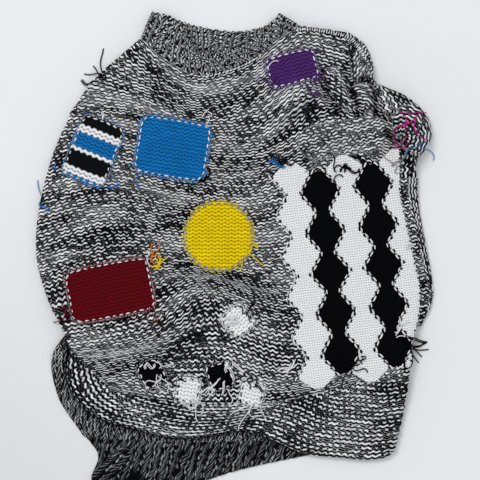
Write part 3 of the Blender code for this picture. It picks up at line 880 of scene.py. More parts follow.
def marl(name, side, white=1.0, dark=0.0, strand=0.24, twist=1.3, swing=0.2):
    """Knitting in one black and one white strand twisted together, which take turns on top.

    white is how bright the white strand is, dark how much of it is lost, strand its half width across
    the yarn, and twist and swing how fast and how far a knit or rib stitch turns it aside.
    """
    made, flow, shader = start_material(name, sheen=0.0)
    along, number, across, other = stitch_places(flow, side)
    fine = flow.cloudy(flow.place(along * 9.0, across * 5.0, number), 1.0, 2.0)
    clouds = flow.cloudy(flow.place(along * 0.07, number * 0.15), 1.0, 2.0)
    if side == "purl":
        turning = flow.cloudy(flow.place((along + across * 0.8) * 0.66, number * 3.17), 1.0, 1.0)
        humps = ((along + number * 0.31) * (2 * np.pi)).sine() * 0.1
        on_top = (turning + humps + (fine - 0.5) * 0.2 - 0.46).step(-0.06, 0.06)
        over, under = strand - abs(across), 0.03 - abs(abs(across) - 0.3)
    else:
        turning = flow.cloudy(flow.place(flow.math("ROUND", along) * 2.7, number * 3.17), 1.0)
        phase = turning * 26.0 + along * twist
        aside = phase.sine() * swing
        on_top = (phase + np.pi / 2).sine().step(-0.5, 0.5)
        over, under = strand - abs(across - aside), abs(across + aside) - 0.14 - strand
    # hollow is painted shade: fewer white strands show in a hollow of the folds, and more on a crown, as a
    # painted highlight
    hollow = crease_dark(flow)
    balance = under + (over - under) * on_top + (fine - 0.5) * 0.3 + (clouds - 0.5) * 0.4
    is_white = (balance - dark - hollow * 0.16).step(-0.05, 0.05)
    lit = flow.cloudy(flow.place(along * 0.8, number * 2.3, 7.0), 1.0, 2.0).step(0.3, 0.62)
    dull, bright = (opaque(shade_of(YARNS["white"], white * share)) for share in (0.5, 1.0))
    colour = flow.blend(is_white, opaque(MARL_BLACK), flow.blend(lit, dull, bright))
    # Painted shade: the grooves between the yarns and the hollows of the folds are blended towards the black
    # strand's colour
    depth = flow_max(groove(side, across, along, other) * 0.85 + (fine - 0.5) * 0.25, hollow)
    colour = flow.blend(depth.clamped(), colour, opaque(MARL_BLACK))
    height = (along * 42.0 + across * 9.0).sine() * 0.4 + fine
    if side != "purl":
        height = height - across * across * 3.0
    connect(flow, shader, colour, height)
    return made


def wool(name, yarn, shadow=0.26, patchiness=0.88, between=0.5):
    """Knitting in one plain colour.

    shadow is how bright the deepest place is, patchiness how bright the dullest stitches are, and
    between how dark the grooves are away from the holes.
    """
    made, flow, shader = start_material(name, 0.0 if yarn == "black" else 0.06)
    along, number, across, row = stitch_places(flow, "purl")
    fine = flow.cloudy(flow.place(along * 9.0, row * 5.0), 1.0, 2.0)
    patchy = flow.cloudy(flow.place(along * 0.5, number * 1.7), 1.0)
    base = YARNS[yarn]
    dull, light = opaque(shade_of(base, patchiness)), opaque(shade_of(base, 1.12, 0.95))
    colour = flow.blend(patchy.step(0.25, 0.75), dull, light)
    holes = 0.5 + 0.5 * (along * (4 * np.pi) + np.pi / 2).sine()
    depth = abs(across).step(0.14, 0.46) * (between + (1 - between) * holes) + (fine - 0.5) * 0.3
    colour = flow.blend(depth.clamped(), colour, opaque(shade_of(base, shadow)))
    connect(flow, shader, colour, (along * 42.0 + across * 9.0).sine() * 0.4 + fine)
    return made


def stripes(name):
    """Rows of blue, black and white."""
    made, flow, shader = start_material(name)
    along, number, across, row = stitch_places(flow, "purl")
    fine = flow.cloudy(flow.place(along * 9.0, row * 5.0), 1.0, 2.0)
    band = flow.math("FRACT", (number + 0.5) / 11.0)
    blue, black, white = (opaque(YARNS[key]) for key in ("cobalt", "black", "white"))
    ramp = flow.add(
        "ValToRGB",
        {"interpolation": "CONSTANT", "stops": ((0.0, blue), (0.36, white), (0.54, black), (0.9, white))},
        {0: band},
    )
    holes = 0.5 + 0.5 * (along * (4 * np.pi) + np.pi / 2).sine()
    # painted shade in the grooves and holes between the stitches
    depth = abs(across).step(0.14, 0.46) * (0.5 + 0.5 * holes) * 0.8 + (fine - 0.5) * 0.3
    colour = flow.blend(depth.clamped(), ramp, opaque((0.004, 0.006, 0.01)))
    connect(flow, shader, colour, (along * 42.0 + across * 9.0).sine() * 0.4 + fine)
    return made


def thread(name, yarn):
    """Twisted sewing yarn."""
    made, flow, shader = start_material(name, 0.0 if yarn == "black" else 0.06)
    spot = flow.add("TexCoord", (), (), "Object")
    fine = flow.cloudy(spot, 1400.0, 2.0)
    patchy = flow.cloudy(spot, 160.0)
    dull, bright = (opaque(shade_of(YARNS[yarn], share, 1.0)) for share in (0.6, 1.25))
    colour = flow.blend((patchy + (fine - 0.5) * 0.8).clamped(), dull, bright)
    connect(flow, shader, colour, fine, 0.6, 0.0004)
    return made


def pale_surface(name, colour):
    """The floor: one colour, with painted shade making it a little darker towards the lower left."""
    made, flow, shader = start_material(name)
    spot = flow.add("TexCoord", (), (), "Object")
    corner = flow.add("VectorMath", {"operation": "DOT_PRODUCT"}, {0: spot, 1: (-1, -1, 0)}, 1)
    tone = (flow.cloudy(spot, 2.0, 2.0) * 0.15 + corner.step(0.15, 0.75)).clamped()
    mixed = flow.blend(tone, opaque(colour), opaque(shade_of(colour, 0.86)))
    flow.tree.links.new(mixed.socket, shader.inputs["Base Color"])
    shader.inputs["Sheen Weight"].default_value = 0.0
    return made


# ---------------------------------------------------------------- the height of the cloth at any place
CELL = 2.0  # millimetres to a cell
MAP_LOW = (-300.0, -360.0)
MAP_SIZE = (300, 360)
MAP_EDGE = 1.001  # a place stays this many cells inside the map's far edges


class Ground:
    """A map of how high the upper face stands at each x and y."""

    def __init__(self):
        self.height = np.zeros(MAP_SIZE)

    def places(self, x, y):
        """The cell of each place, and how far across and up it lies in that cell."""
        i = np.clip((x - MAP_LOW[0]) / CELL, 0, MAP_SIZE[0] - MAP_EDGE)
        j = np.clip((y - MAP_LOW[1]) / CELL, 0, MAP_SIZE[1] - MAP_EDGE)
        return i.astype(int), j.astype(int), i % 1, j % 1

    def lay(self, grid):
        """Adds a cloth's upper face, where it is the highest so far."""
        i, j, a, b = self.places(grid[..., 0].reshape(-1), grid[..., 1].reshape(-1))
        total, weight = np.zeros(MAP_SIZE), np.zeros(MAP_SIZE)
        z = grid[..., 2].reshape(-1)
        for over, up in ((0, 0), (1, 0), (0, 1), (1, 1)):
            share = (a if over else 1 - a) * (b if up else 1 - b)
            np.add.at(total, (i + over, j + up), share * z)
            np.add.at(weight, (i + over, j + up), share)
        here = weight > 0.05
        found = np.where(here, total / np.maximum(weight, 1e-9), 0)
        self.height = np.maximum(self.height, found)

    def at(self, x, y):
        i, j, a, b = self.places(np.asarray(x, float), np.asarray(y, float))
        height = self.height
        near = height[i, j] * (1 - a) + height[i + 1, j] * a
        far = height[i, j + 1] * (1 - a) + height[i + 1, j + 1] * a
        return near * (1 - b) + far * b


# ---------------------------------------------------------------- the pieces of the garment
def front_frame(columns, first, last, count, t_of_row):
    """Shares across, neck shares, wales and rows of part of the front's count rows, from the hem seam up."""
    u = columns[None, :]
    neck = neck_share(columns)[None, :]
    row = np.arange(first * LINES, last * LINES + 1)[:, None] / LINES - 0.5
    row = np.clip(row, 0, count)
    plain_t = t_of_row(row)
    left, right = row_ends(COURSES, plain_t - (1 - neck) * plain_t**2)
    wale = (left + (right - left) * u) / WALE
    row = np.broadcast_to(row, wale.shape)
    return u, neck, row, wale


def front_shares():
    """Shares across the front: closer where it turns down at its sides."""
    turn = ROLL / BODY_WIDTH
    side = np.linspace(0, turn, 13)[:-1]
    return np.concatenate([side, np.linspace(turn, 1 - turn, 441), 1 - side[::-1]])


def front_rows():
    """How many rows the front has, and the share up it of each."""
    t = np.linspace(0, 1, 201)
    u = np.linspace(0.02, 0.98, 41)
    grid = front_point(u[None, :], neck_share(u)[None, :], t[:, None])
    steps = np.linalg.norm(np.diff(grid, axis=0), axis=-1).mean(axis=1)
    along = np.concatenate([[0], np.cumsum(steps)])
    count = int(round(along[-1] / ROW))
    return count, lambda row: np.interp(row, along / along[-1] * count, t)


def knit_front():
    """The front, in two pieces that meet along a row."""
    columns = front_shares()
    count, t_of_row = front_rows()
    half = count // 2
    made = []
    for name, first, last in (("front_lower", 0, half), ("front_upper", half, count + 1)):
        u, neck, row, wale = front_frame(columns, first, last, count, t_of_row)
        shifted = np.clip(row + row_shift("purl", wale, row), 0, count)
        shifted = row + (shifted - row) * ease(np.minimum(row, count - row))
        base = front_point(u, neck, t_of_row(shifted))
        x, y = base[..., 0], base[..., 1]
        wale, row, height = lobed(x, y, wale, row, stitch_height("purl", wale, row), LOBES)
        top = base + face_normals(base) * (height + BODY_LIFT)[..., None]
        marks = np.stack([wale, row, crease_shade(x, y)], axis=-1)
        made.append(stitched(name, top, base, marks, WALL, MARL, inside=MARL_KNIT))
    return made


def coarse_front():
    """The front's plain face, for the pieces that lie on it or beside it."""
    u = np.linspace(0, 1, 420)
    return front_point(u[None, :], neck_share(u)[None, :], np.linspace(0, 1, 420)[:, None])


def hem_frame(front, count, across):
    """Points of the front hem band's plain face: up its left fold, then along its bottom row."""
    turned = np.searchsorted(np.linspace(0, 1, front.shape[1]), ROLL / BODY_WIDTH)
    fold_rows = np.flatnonzero(np.linspace(0, 1, len(front)) <= FOLD_END)
    fold = away(front[fold_rows, 0], front[fold_rows, turned + 8])[::-1]
    seam = away(front[0, turned:], front[8, turned:])
    fold[-1] += seam[0] - front[0, turned]
    inner = resampled(np.concatenate([fold[:-1], seam]), count)
    edge = smooth(*table(HEM_EDGE), share_along(inner))
    plan = inner[None, :, :2] * (1 - across[:, None, None]) + edge[None, :, :2] * across[:, None, None]
    x, y = plan[..., 0], plan[..., 1]
    depth = np.linalg.norm(edge - inner[:, :2], axis=-1)
    to_edge = depth * (1 - across[:, None])
    resting = sleeve_lift(x, y) + 2 * WALL + LAYER_GAP + HEM_CLEAR
    z = turned_down(front_height(x, y), resting, to_edge, HEM_ROLL)
    met = ease(across / 0.5)[:, None]
    z = inner[:, 2] * (1 - met) + z * met
    return np.stack([x, y, z], axis=-1), to_edge


def knit_hem(front):
    """The front's hem band, its right end bowed out and its corner rounded."""
    across = np.linspace(0, 1, 97)
    grid, to_edge = hem_frame(front, 465, across)
    middle = grid[len(grid) // 2]
    along = share_along(middle) * np.linalg.norm(np.diff(middle[:, :2], axis=0), axis=-1).sum()
    wale = np.broadcast_to(along / WALE, to_edge.shape)
    from_end = np.broadcast_to(along[-1] - along, to_edge.shape)
    grid[..., 0] += HEM_BULGE * np.sin(np.pi * across)[:, None] * ease(1 - from_end / HEM_END)
    over, up = np.maximum(HEM_CORNER - from_end, 0), np.maximum(HEM_CORNER - to_edge, 0)
    pull = 1 - np.maximum(over, up) / np.maximum(np.hypot(over, up), 1e-9)
    grid[..., 0] -= over * pull
    grid[..., 1] += up * pull
    row = to_edge / np.interp(along, (0, along[-1]), HEM_ROWS) + 0.15
    row = row - HEM_WAVE * row_shift("purl", wale, row, 21)
    height = HEM_RELIEF * stitch_height("purl", wale, row, 21) + BAND_LIFT
    top = grid + face_normals(grid) * height[..., None]
    top[..., 0] += 1.3 * np.cos(np.pi * row) * ease(1 - from_end / 6)
    marks = np.stack([wale, row, crease_shade(grid[..., 0], grid[..., 1])], axis=-1)
    return stitched("hem_band", top, grid, marks, WALL, MARL_HEM, inside=MARL_KNIT)


def cap_frame(front, columns, lines):
    """Points of what shows of the right sleeve, from the front's right edge to its own fold."""
    rows = np.linspace(0, 1, len(front))
    shown = np.flatnonzero(rows >= SLEEVE_OUTLINE[0][0] - 0.01)
    edge = away(front[shown, -1], front[shown, -14])
    share = rows[shown]
    fine = np.linspace(share[0], share[-1], lines)
    inner = np.stack([np.interp(fine, share, edge[:, k]) for k in range(3)], axis=-1)
    outline = smooth(*table(SLEEVE_OUTLINE), fine)
    outline[:, 0] -= STRIP_TAPER * (1 - ease((fine - fine[0]) / 0.06))
    across = 1 - (1 - np.linspace(0, 1, columns)) ** 1.15
    plan = inner[None, :, :2] * (1 - across[:, None, None]) + outline[None, :, :2] * across[:, None, None]
    x, y = plan[..., 0], plan[..., 1]
    crest = outline[:, 2] * np.sin(np.pi * across[:, None] ** 0.8)
    to_edge = np.linalg.norm(outline[:, :2] - inner[:, :2], axis=-1) * (1 - across[:, None])
    bunched = ease((fine - 0.6) / 0.15)
    flat = SLEEVE_STACK + LAYER_GAP + WALL + 0.5
    body = front_height(x, y) * bunched + flat * (1 - bunched) + crest
    z = turned_down(body, FOLD_TOP, to_edge)
    met = ease(across / 0.3)[:, None]
    z = inner[:, 2] * (1 - met) + z * met
    grid = np.stack([x, y, z], axis=-1).transpose(1, 0, 2)
    return grid, to_edge.T, np.broadcast_to(fine[:, None], to_edge.T.shape)


def knit_cap(front):
    """The sleeve's strip, its rows across it and then down its fold, and the bunched cap above it."""
    grid, to_edge, share = cap_frame(front, 49, 385)
    x, y = grid[..., 0], grid[..., 1]
    along_in = to_edge.max(axis=1, keepdims=True) - to_edge
    strip = share < STRIP_TOP
    fold = strip & (along_in > STRIP_TURN)
    lobe = (x < SHOULDER_CORNER[0]) & (y > SHOULDER_CORNER[1])
    cosine, sine = SHOULDER_TURN
    wale = np.where(strip, along_in / WALE, np.where(lobe, (cosine * x + sine * y) / WALE, y / WALE))
    row = np.where(lobe, (sine * x - cosine * y) / ROW, along_in / BULGE_ROW)
    row = np.where(strip, y / STRIP_ROW, row)
    wale, row = np.where(fold, y / WALE, wale), np.where(fold, along_in / FOLD_ROW, row)
    row = row - row_shift("purl", wale, row, 31)
    height = stitch_height("purl", wale, row, 31)
    wale, row, height = lobed(x, y, wale, row, height, CAP_LOBES, size=(WALE, BULGE_ROW))
    top = grid + face_normals(grid) * height[..., None]
    marks = np.stack([wale, row, crease_shade(x, y)], axis=-1)
    return stitched("sleeve_cap", top, grid, marks, WALL, MARL_CAP, inside=MARL_KNIT)


def collar_frame(front, count, across):
    """Points of the front half of the neck band, standing up from the neckline and rounding over."""
    on_neck = np.flatnonzero(front[-1, :, 0] <= NECKLINE[-1][0] + 4)
    seam = resampled(away(front[-1, on_neck], front[-14, on_neck]), count)
    edge = smooth(*table(COLLAR_EDGE), share_along(seam))
    plan = seam[None, :, :2] * (1 - across[:, None, None]) + edge[None, :, :2] * across[:, None, None]
    z = seam[:, 2] * (1 - across[:, None]) + edge[:, 2] * across[:, None]
    z += COLLAR_PUFF * np.sin(np.pi * across)[:, None]
    return np.concatenate([plan, z[..., None]], axis=-1)


def ribbed(name, grid, lowest, shaded=0.0):
    """A ribbed band: V stitches up each rib, a groove between two, and a bump at each rib's end."""
    length = np.linalg.norm(np.diff(grid[len(grid) // 2], axis=0), axis=-1).sum()
    depth = np.linalg.norm(np.diff(grid[:, grid.shape[1] // 2], axis=0), axis=-1).sum()
    ribs, rows = round(length / RIB), round(depth / RIB_ROW)
    rib = np.linspace(0, ribs, grid.shape[1])[None, :] + np.zeros((len(grid), 1))
    row = np.linspace(0, rows, len(grid))[:, None] + np.zeros((1, grid.shape[1]))
    rib = rib + 0.2 * ripple(rib * 1.3, row * 0.8, 41)
    row = row + 0.6 * ripple(rib * 2.1, row * 0.2, 42) - row_shift("rib", rib, row, 41)
    top = grid + face_normals(grid) * (stitch_height("rib", rib, row, 41) + COLLAR_LIFT)[..., None]
    end = ease((np.linspace(0, 1, len(grid)) - 0.82) / 0.18)[:, None]
    upward = (grid[-1] - grid[-5]) / np.linalg.norm(grid[-1] - grid[-5], axis=-1, keepdims=True)
    bead = np.sqrt(1 - np.abs(2 * from_whole(rib)) ** 1.5)
    top = top + upward[None] * (end * (5.4 * bead - 3.4))[..., None]
    # painted shadow of the front collar's edge on the back collar, as much as shaded says
    middle, reach = COLLAR_HOLLOW
    x, y = grid[..., 0], grid[..., 1]
    shade = edge_shade(x, y) * shaded * np.exp(-(((x - middle) / reach) ** 2))
    marks = np.stack([rib, row, shade], axis=-1)
    return stitched(name, top, grid, marks, RIB_WALL, MARL_RIB, lowest=lowest)


def collar_back_frame(count, across):
    """Points of the back half of the neck band, which lies flat with its inside up."""
    rim = smooth(*table(COLLAR_BACK), np.linspace(0, 1, count))
    plan = rim[None, :, 2:] * (1 - across[:, None, None]) + rim[None, :, :2] * across[:, None, None]
    return np.concatenate([plan, np.full(plan.shape[:2] + (1,), RIB_WALL)], axis=-1)


def raised(grid, height):
    """A grid of points moved straight up."""
    return grid + np.array([0, 0, 1.0]) * height[..., None]


def knit_back():
    """The back: its inside, in knit stitches, shows beyond the front at the lower left and the foot."""
    shown_rows, rows = 26, 104  # the rows above those lie under the front, and are plain
    line = np.concatenate([np.arange(0, shown_rows * LINES) / LINES, np.arange(shown_rows, rows + 1)])
    v = line / line[-1]
    u = np.concatenate([np.linspace(0, 0.3, 181)[:-1], np.linspace(0.3, 1, 89)])
    x, y = rows_point(BACK_ROWS, u[None, :], v[:, None])
    grid = np.stack([x, y, sleeve_lift(x, y) + WALL - SINK], axis=-1)
    wale = x / WALE
    row = np.broadcast_to(line[:, None], x.shape) - row_shift("knit", wale, line[:, None])
    height = np.where(line[:, None] < shown_rows, stitch_height("knit", wale, row, 51), -0.3)
    top = raised(grid, height)
    # the third mark is the painted shadow beside the edges of the cloth on top
    marks = np.stack([wale, row, edge_shade(x, y)], axis=-1)
    return stitched("back", top, grid, marks, WALL, MARL_KNIT, (2, 4), 0.0, inside=MARL)


def knit_back_hem():
    """The back's hem band: wide ribs, its corner curled up, and painted shade beside the front's edge and in
    the hollow behind that corner.
    """
    v = np.linspace(0, 1, 61)
    u = np.linspace(0, 1, 289)
    x, y = rows_point(BACK_HEM_ROWS, u[None, :], v[:, None])
    _, seam = rows_point(BACK_ROWS, u, 0.0)
    y = y + (seam - SEAM_GAP - y[0]) * (1 - ease(v[:, None] / 0.3))
    width, rise = HEM_CURL
    curl = rise * swelling(x, y, *HEM_LOBES[0][:4], width)
    # painted shade in the hollow behind the curled corner
    hollow = np.minimum(1.5 * swelling(x, y, *HEM_HOLLOW, HEM_HOLLOW_WIDTH), 1)
    grid = np.stack([x, y, np.full_like(x, WALL - SINK) + curl], axis=-1)
    wale = (x - INSIDE_LEAN * (y + 270)) / INSIDE_RIB
    wale = wale + 0.16 * ripple(wale * 1.4, y / INSIDE_ROW * 0.9, 62)
    row = y / INSIDE_ROW + 0.5 * ripple(wale * 2.2, y * 0.03, 63)
    row = row - 1.3 * row_shift("rib", wale, row, 61)
    height = stitch_height("rib", wale, row, 61)
    wale, row, height = lobed(x, y, wale, row, height, HEM_LOBES, "rib", (INSIDE_RIB, INSIDE_ROW))
    top = raised(grid, np.maximum(INSIDE_RELIEF * height + BAND_LIFT, LEAST_DEPTH - WALL))
    marks = np.stack([wale, row, np.maximum(edge_shade(x, y), hollow)], axis=-1)
    return stitched("back_hem", top, grid, marks, WALL, MARL_DEEP, (4, 6), 0.0, inside=MARL)


def tucked(name, rows, narrower, yarn, row_height):
    """Two folded layers as one rounded piece, with a groove between them along each side."""
    half = SLEEVE_STACK / 2
    corner, lip, groove_end = (-TUCK_CORNER, 0), -1.2, (-4.5, half)  # how far out, and how high
    edge = (corner, (0, 0.5 * half), (lip, half - 0.15), groove_end, (lip, half + 0.15), (0, 1.5 * half))
    stations = np.array(rows, float)[::-1]
    length = stations[-1, 0] - stations[0, 0]
    count = int(length / row_height * 2) + 1
    y = np.linspace(stations[0, 0], stations[-1, 0], count)
    outer, inner = (np.interp(y, stations[:, 0], stations[:, k]) for k in (1, 2))
    middle, reach = (outer + inner) / 2, np.abs(outer - inner) / 2 - narrower
    faces_across = np.linspace(1, -1, 15)
    ridge = TUCK_RELIEF * np.cos(np.pi * np.arange(count))
    ring = []
    for out, z in edge:
        ring.append((middle + reach + out, np.full(count, z)))
    for share in faces_across:
        over = middle + share * (reach - TUCK_CORNER)
        ring.append((over, np.full(count, SLEEVE_STACK - TUCK_RELIEF) + ridge))
    for out, z in edge[::-1]:
        ring.append((middle - reach - out, np.full(count, z)))
    for share in -faces_across:
        ring.append((middle + share * (reach - TUCK_CORNER), np.full(count, TUCK_FOOT) - ridge))
    around = len(ring)
    points = np.stack([np.stack([x, y, z], axis=-1) for x, z in ring], axis=1)
    index = np.arange(count * around).reshape(count, around)
    turned = np.roll(index, -1, axis=1)
    sides = np.stack([index[:-1], index[1:], turned[1:], turned[:-1]], axis=-1).reshape(-1, 4)
    middles = np.stack([np.array([middle[k], y[k], half]) for k in (0, -1)])
    first, last = count * around, count * around + 1
    caps = [(first, index[0, k], turned[0, k]) for k in range(around)]
    caps += [(last, turned[-1, k], index[-1, k]) for k in range(around)]
    row = np.broadcast_to(y[:, None] / row_height, points.shape[:2])
    marks = np.stack([points[..., 0] / WALE, row], axis=-1)
    marks = np.concatenate([marks.reshape(-1, 2), np.zeros((2, 2))])
    points = np.concatenate([points.reshape(-1, 3), middles])
    return mesh_piece(name, points, [sides, np.array(caps)], marks, [yarn], len(sides))


# ---------------------------------------------------------------- patches
def patch_surface(x, y, rim, marks):
    """A knitted patch over the front: its edges thin down onto it. rim is the distance to its own edge."""
    plain = np.stack([x, y, front_ground.at(x, y) + PATCH_GAP], axis=-1)
    body = np.sqrt(np.clip(1 - (1 - np.clip(rim / PATCH_RIM, 0, 1)) ** 2, 0, 1))
    stitches = stitch_height("purl", marks[..., 0], marks[..., 1], 71) * (0.35 + 0.4 * body)
    lift = PATCH_LIFT + (PATCH_WALL + 0.1) * body + stitches
    return raised(plain, np.maximum(lift, PATCH_THINNEST)), plain


def knit_patch(name, x, y, width, height, turn, sides, yarn):
    """A patch, its upper face and its outline. One with sides has its corners drawn in a little."""
    rows = max(4, round(height / PATCH_ROW))
    line = np.arange(rows * LINES + 1) / LINES - rows / 2
    columns = int(round(width / WALE)) * STEPS + 1
    spread = np.linspace(-1, 1, columns)[None, :]
    up = (line / (rows / 2))[:, None]
    if sides:
        half = 1 - 0.28 * ease((np.abs(up) - 0.72) / 0.5)
    else:
        half = np.sqrt(np.clip(1 - (0.985 * up) ** 2, 0, 1))
    local_x = spread * half * width / 2
    wale = local_x / WALE
    row = np.broadcast_to(line[:, None], wale.shape)
    inside = 1 - np.abs(up)
    wave = row_shift("purl", wale, row, 71) * ease(inside * rows / 3)
    bow = 1.5 * (1 - spread**2) * up if sides else 0.0
    local_y = (row + wave) * height / rows + bow
    rim = np.minimum(half * width / 2 - np.abs(local_x), height / 2 * (1 - np.abs(up)))
    turn = np.radians(turn)
    at_x = x + local_x * np.cos(turn) - local_y * np.sin(turn)
    at_y = y + local_x * np.sin(turn) + local_y * np.cos(turn)
    marks = np.stack([wale, row], axis=-1)
    top, plain = patch_surface(at_x, at_y, rim, marks)
    made = stitched(name, top, plain, marks, PATCH_GAP * 0.5, KNITTED[yarn])
    outline = np.concatenate([top[0, :-1], top[:-1, -1], top[-1, :0:-1], top[:0:-1, 0]])
    return made, top, outline


def harlequin_border(number, down):
    """x of a border between two columns of the block, at each distance down it."""
    size = HARLEQUIN
    step = np.clip(down, 0, size["rows"] * size["height"]) / (size["height"] / 2)
    zigzag = 1 - 2 * np.abs(np.mod(step, 2) - 1)
    sign = 1 if number % 2 else -1
    return (number - size["columns"] / 2) * size["pitch"] - sign * size["zigzag"] * zigzag


def block_place(x, down):
    """Where a place in the block lies on the garment: it stops short of the front's right edge."""
    size = HARLEQUIN
    y = size["y"] - down + size["lean"] * x
    edge = np.array(COURSES, float)[:, -2:]
    across = size["x"] + x + size["lean"] * down
    end = np.interp(y, edge[:, 1], edge[:, 0]) - BLOCK_STOP
    return np.where(across > end, end + BLOCK_PRESSED * (across - end), across), y


def harlequin_column(number):
    """One column of diamonds: the block's own x, the distance down it, that to the edge, wale and row."""
    size = HARLEQUIN
    deep = size["rows"] * size["height"]
    tip = size["tip"] if number % 2 == 0 else 0.0
    rows = round((deep + 2 * tip) / BLOCK_ROW)
    line = np.arange(rows * LINES + 1) / LINES
    spread = np.linspace(0, 1, COLUMN_POINTS)[None, :]
    wave_room = ease(np.minimum(line, rows - line) / 1.5)[:, None]
    row = np.broadcast_to(line[:, None], (len(line), COLUMN_POINTS))
    down = (line * (deep + 2 * tip) / rows - tip)[:, None]
    left, right = harlequin_border(number, down), harlequin_border(number + 1, down)
    if tip:
        beyond = np.clip(np.maximum(-down, down - deep) / tip, 0, 1)
        middle, half = (left + right) / 2, (right - left) / 2
        half = half * (1 - beyond) + size["tip_width"] / 2 * beyond
        left, right = middle - half, middle + half
    x = left + (right - left) * spread
    wale = x / BLOCK_WALE
    moved = down - row_shift("purl", wale, -row, 71 + number) * wave_room * BLOCK_ROW
    rim = np.minimum(np.minimum(x - left, right - x), np.minimum(line, rows - line)[:, None] * BLOCK_ROW)
    x = x + COLUMN_INSET * (1 - 2 * spread)
    return x, moved, rim, np.stack([wale, -row], axis=-1)


def knit_harlequin():
    """Columns of diamonds side by side, white and black in turn, as one piece."""
    parts, tops = [], []
    for number in range(HARLEQUIN["columns"]):
        x, down, rim, marks = harlequin_column(number)
        top, plain = patch_surface(*block_place(x, down), rim, marks)
        yarn = KNITTED["black" if number % 2 else "white"]
        parts.append(stitched(f"column_{number}", top, plain, marks, PATCH_GAP * 0.5, yarn))
        tops.append(top)
    return joined("patch_harlequin_knit", parts), tops


# ---------------------------------------------------------------- sewn stitches and loose yarn
class Tree:
    """A Geometry Nodes tree with named inputs."""

    def __init__(self, name, sizes):
        self.tree = bpy.data.node_groups.new(name, "GeometryNodeTree")
        face = self.tree.interface
        face.new_socket("Geometry", in_out="OUTPUT", socket_type="NodeSocketGeometry")
        face.new_socket("Geometry", in_out="INPUT", socket_type="NodeSocketGeometry")
        self.sockets = {}
        for label, kind, value in sizes:
            socket = face.new_socket(label, in_out="INPUT", socket_type="NodeSocket" + kind)
            if value is not None:
                socket.default_value = value
            self.sockets[label] = socket.identifier
        self.inlet = self.tree.nodes.new("NodeGroupInput")
        self.outlet = self.tree.nodes.new("NodeGroupOutput")

    def given(self, label):
        return self.inlet.outputs[label]

    def add(self, kind, settings=(), inputs=()):
        """A node: its type, its settings, and the values or links of its sockets."""
        node = self.tree.nodes.new(kind)
        for name, value in dict(settings).items():
            setattr(node, name, value)
        for name, value in dict(inputs).items():
            if isinstance(value, bpy.types.NodeSocket):
                self.tree.links.new(value, node.inputs[name])
            else:
                node.inputs[name].default_value = value
        return node

    def finish(self, geometry):
        """Realises the geometry and gives it its yarn."""
        realised = self.add("GeometryNodeRealizeInstances", (), {0: geometry})
        coloured = self.add(
            "GeometryNodeSetMaterial", (), {"Geometry": realised.outputs[0], "Material": self.given("Yarn")}
        )
        self.tree.links.new(coloured.outputs[0], self.outlet.inputs["Geometry"])


def running_stitch_tree():
    """Short stitches laid along a line, each turned and sized a little differently."""
    made = Tree("running stitches", (
        ("Spacing", "Float", 0.009), ("Length", "Float", 0.006), ("Thickness", "Float", 0.002),
        ("Turn", "Float", 0.0), ("Unevenness", "Float", 0.25), ("Seed", "Int", 1), ("Yarn", "Material", None),
    ))
    curve = made.add("GeometryNodeMeshToCurve", (), {0: made.given("Geometry")})
    spaced = made.add("GeometryNodeResampleCurve", {"mode": "LENGTH"}, {"Curve": curve.outputs[0]})
    made.tree.links.new(made.given("Spacing"), spaced.inputs["Length"])
    tangent = made.add("GeometryNodeInputTangent")
    facing = made.add("FunctionNodeAlignRotationToVector", {"axis": "X"}, {"Vector": tangent.outputs[0]})
    uneven = made.given("Unevenness")
    less = made.add("ShaderNodeMath", {"operation": "MULTIPLY"}, {0: uneven, 1: -1.0})
    wander = made.add("FunctionNodeRandomValue", {"data_type": "FLOAT"}, {
        2: less.outputs[0], 3: uneven, "Seed": made.given("Seed")})
    turn = made.add("ShaderNodeMath", {"operation": "ADD"}, {0: made.given("Turn"), 1: wander.outputs[1]})
    angles = made.add("ShaderNodeCombineXYZ", (), {2: turn.outputs[0]})
    rotation = made.add("FunctionNodeEulerToRotation", (), {0: angles.outputs[0]})
    turned = made.add("FunctionNodeRotateRotation", {"rotation_space": "LOCAL"}, {
        0: facing.outputs[0], 1: rotation.outputs[0]})
    grain = made.add("GeometryNodeMeshUVSphere", (), {"Segments": 7, "Rings": 6, "Radius": 1.0})
    halves = [
        made.add("ShaderNodeMath", {"operation": "MULTIPLY"}, {0: made.given(label), 1: share}).outputs[0]
        for label, share in (("Length", 0.5), ("Thickness", 0.5), ("Thickness", 0.42))
    ]
    size = made.add("ShaderNodeCombineXYZ", (), dict(enumerate(halves)))
    shaped = made.add("GeometryNodeTransform", (), {"Geometry": grain.outputs[0], "Scale": size.outputs[0]})
    soft = made.add("GeometryNodeSetShadeSmooth", (), {0: shaped.outputs[0]})
    longer = made.add("FunctionNodeRandomValue", {"data_type": "FLOAT"}, {2: 0.7, 3: 1.15, "Seed": 7})
    laid = made.add("GeometryNodeInstanceOnPoints", (), {
        "Points": spaced.outputs[0], "Instance": soft.outputs[0], "Rotation": turned.outputs[0],
        "Scale": longer.outputs[1]})
    made.finish(laid.outputs[0])
    return made


def loose_yarn_tree():
    """A round yarn that follows each line."""
    made = Tree("loose yarn", (
        ("Thickness", "Float", 0.0015), ("Sides", "Int", 5), ("Yarn", "Material", None),
    ))
    curve = made.add("GeometryNodeMeshToCurve", (), {0: made.given("Geometry")})
    half = made.add("ShaderNodeMath", {"operation": "MULTIPLY"}, {0: made.given("Thickness"), 1: 0.5})
    ring = made.add("GeometryNodeCurvePrimitiveCircle", {"mode": "RADIUS"}, {
        "Resolution": made.given("Sides"), "Radius": half.outputs[0]})
    tube = made.add("GeometryNodeCurveToMesh", (), {
        "Curve": curve.outputs[0], "Profile Curve": ring.outputs[0], "Fill Caps": True})
    soft = made.add("GeometryNodeSetShadeSmooth", (), {0: tube.outputs[0]})
    made.finish(soft.outputs[0])
    return made


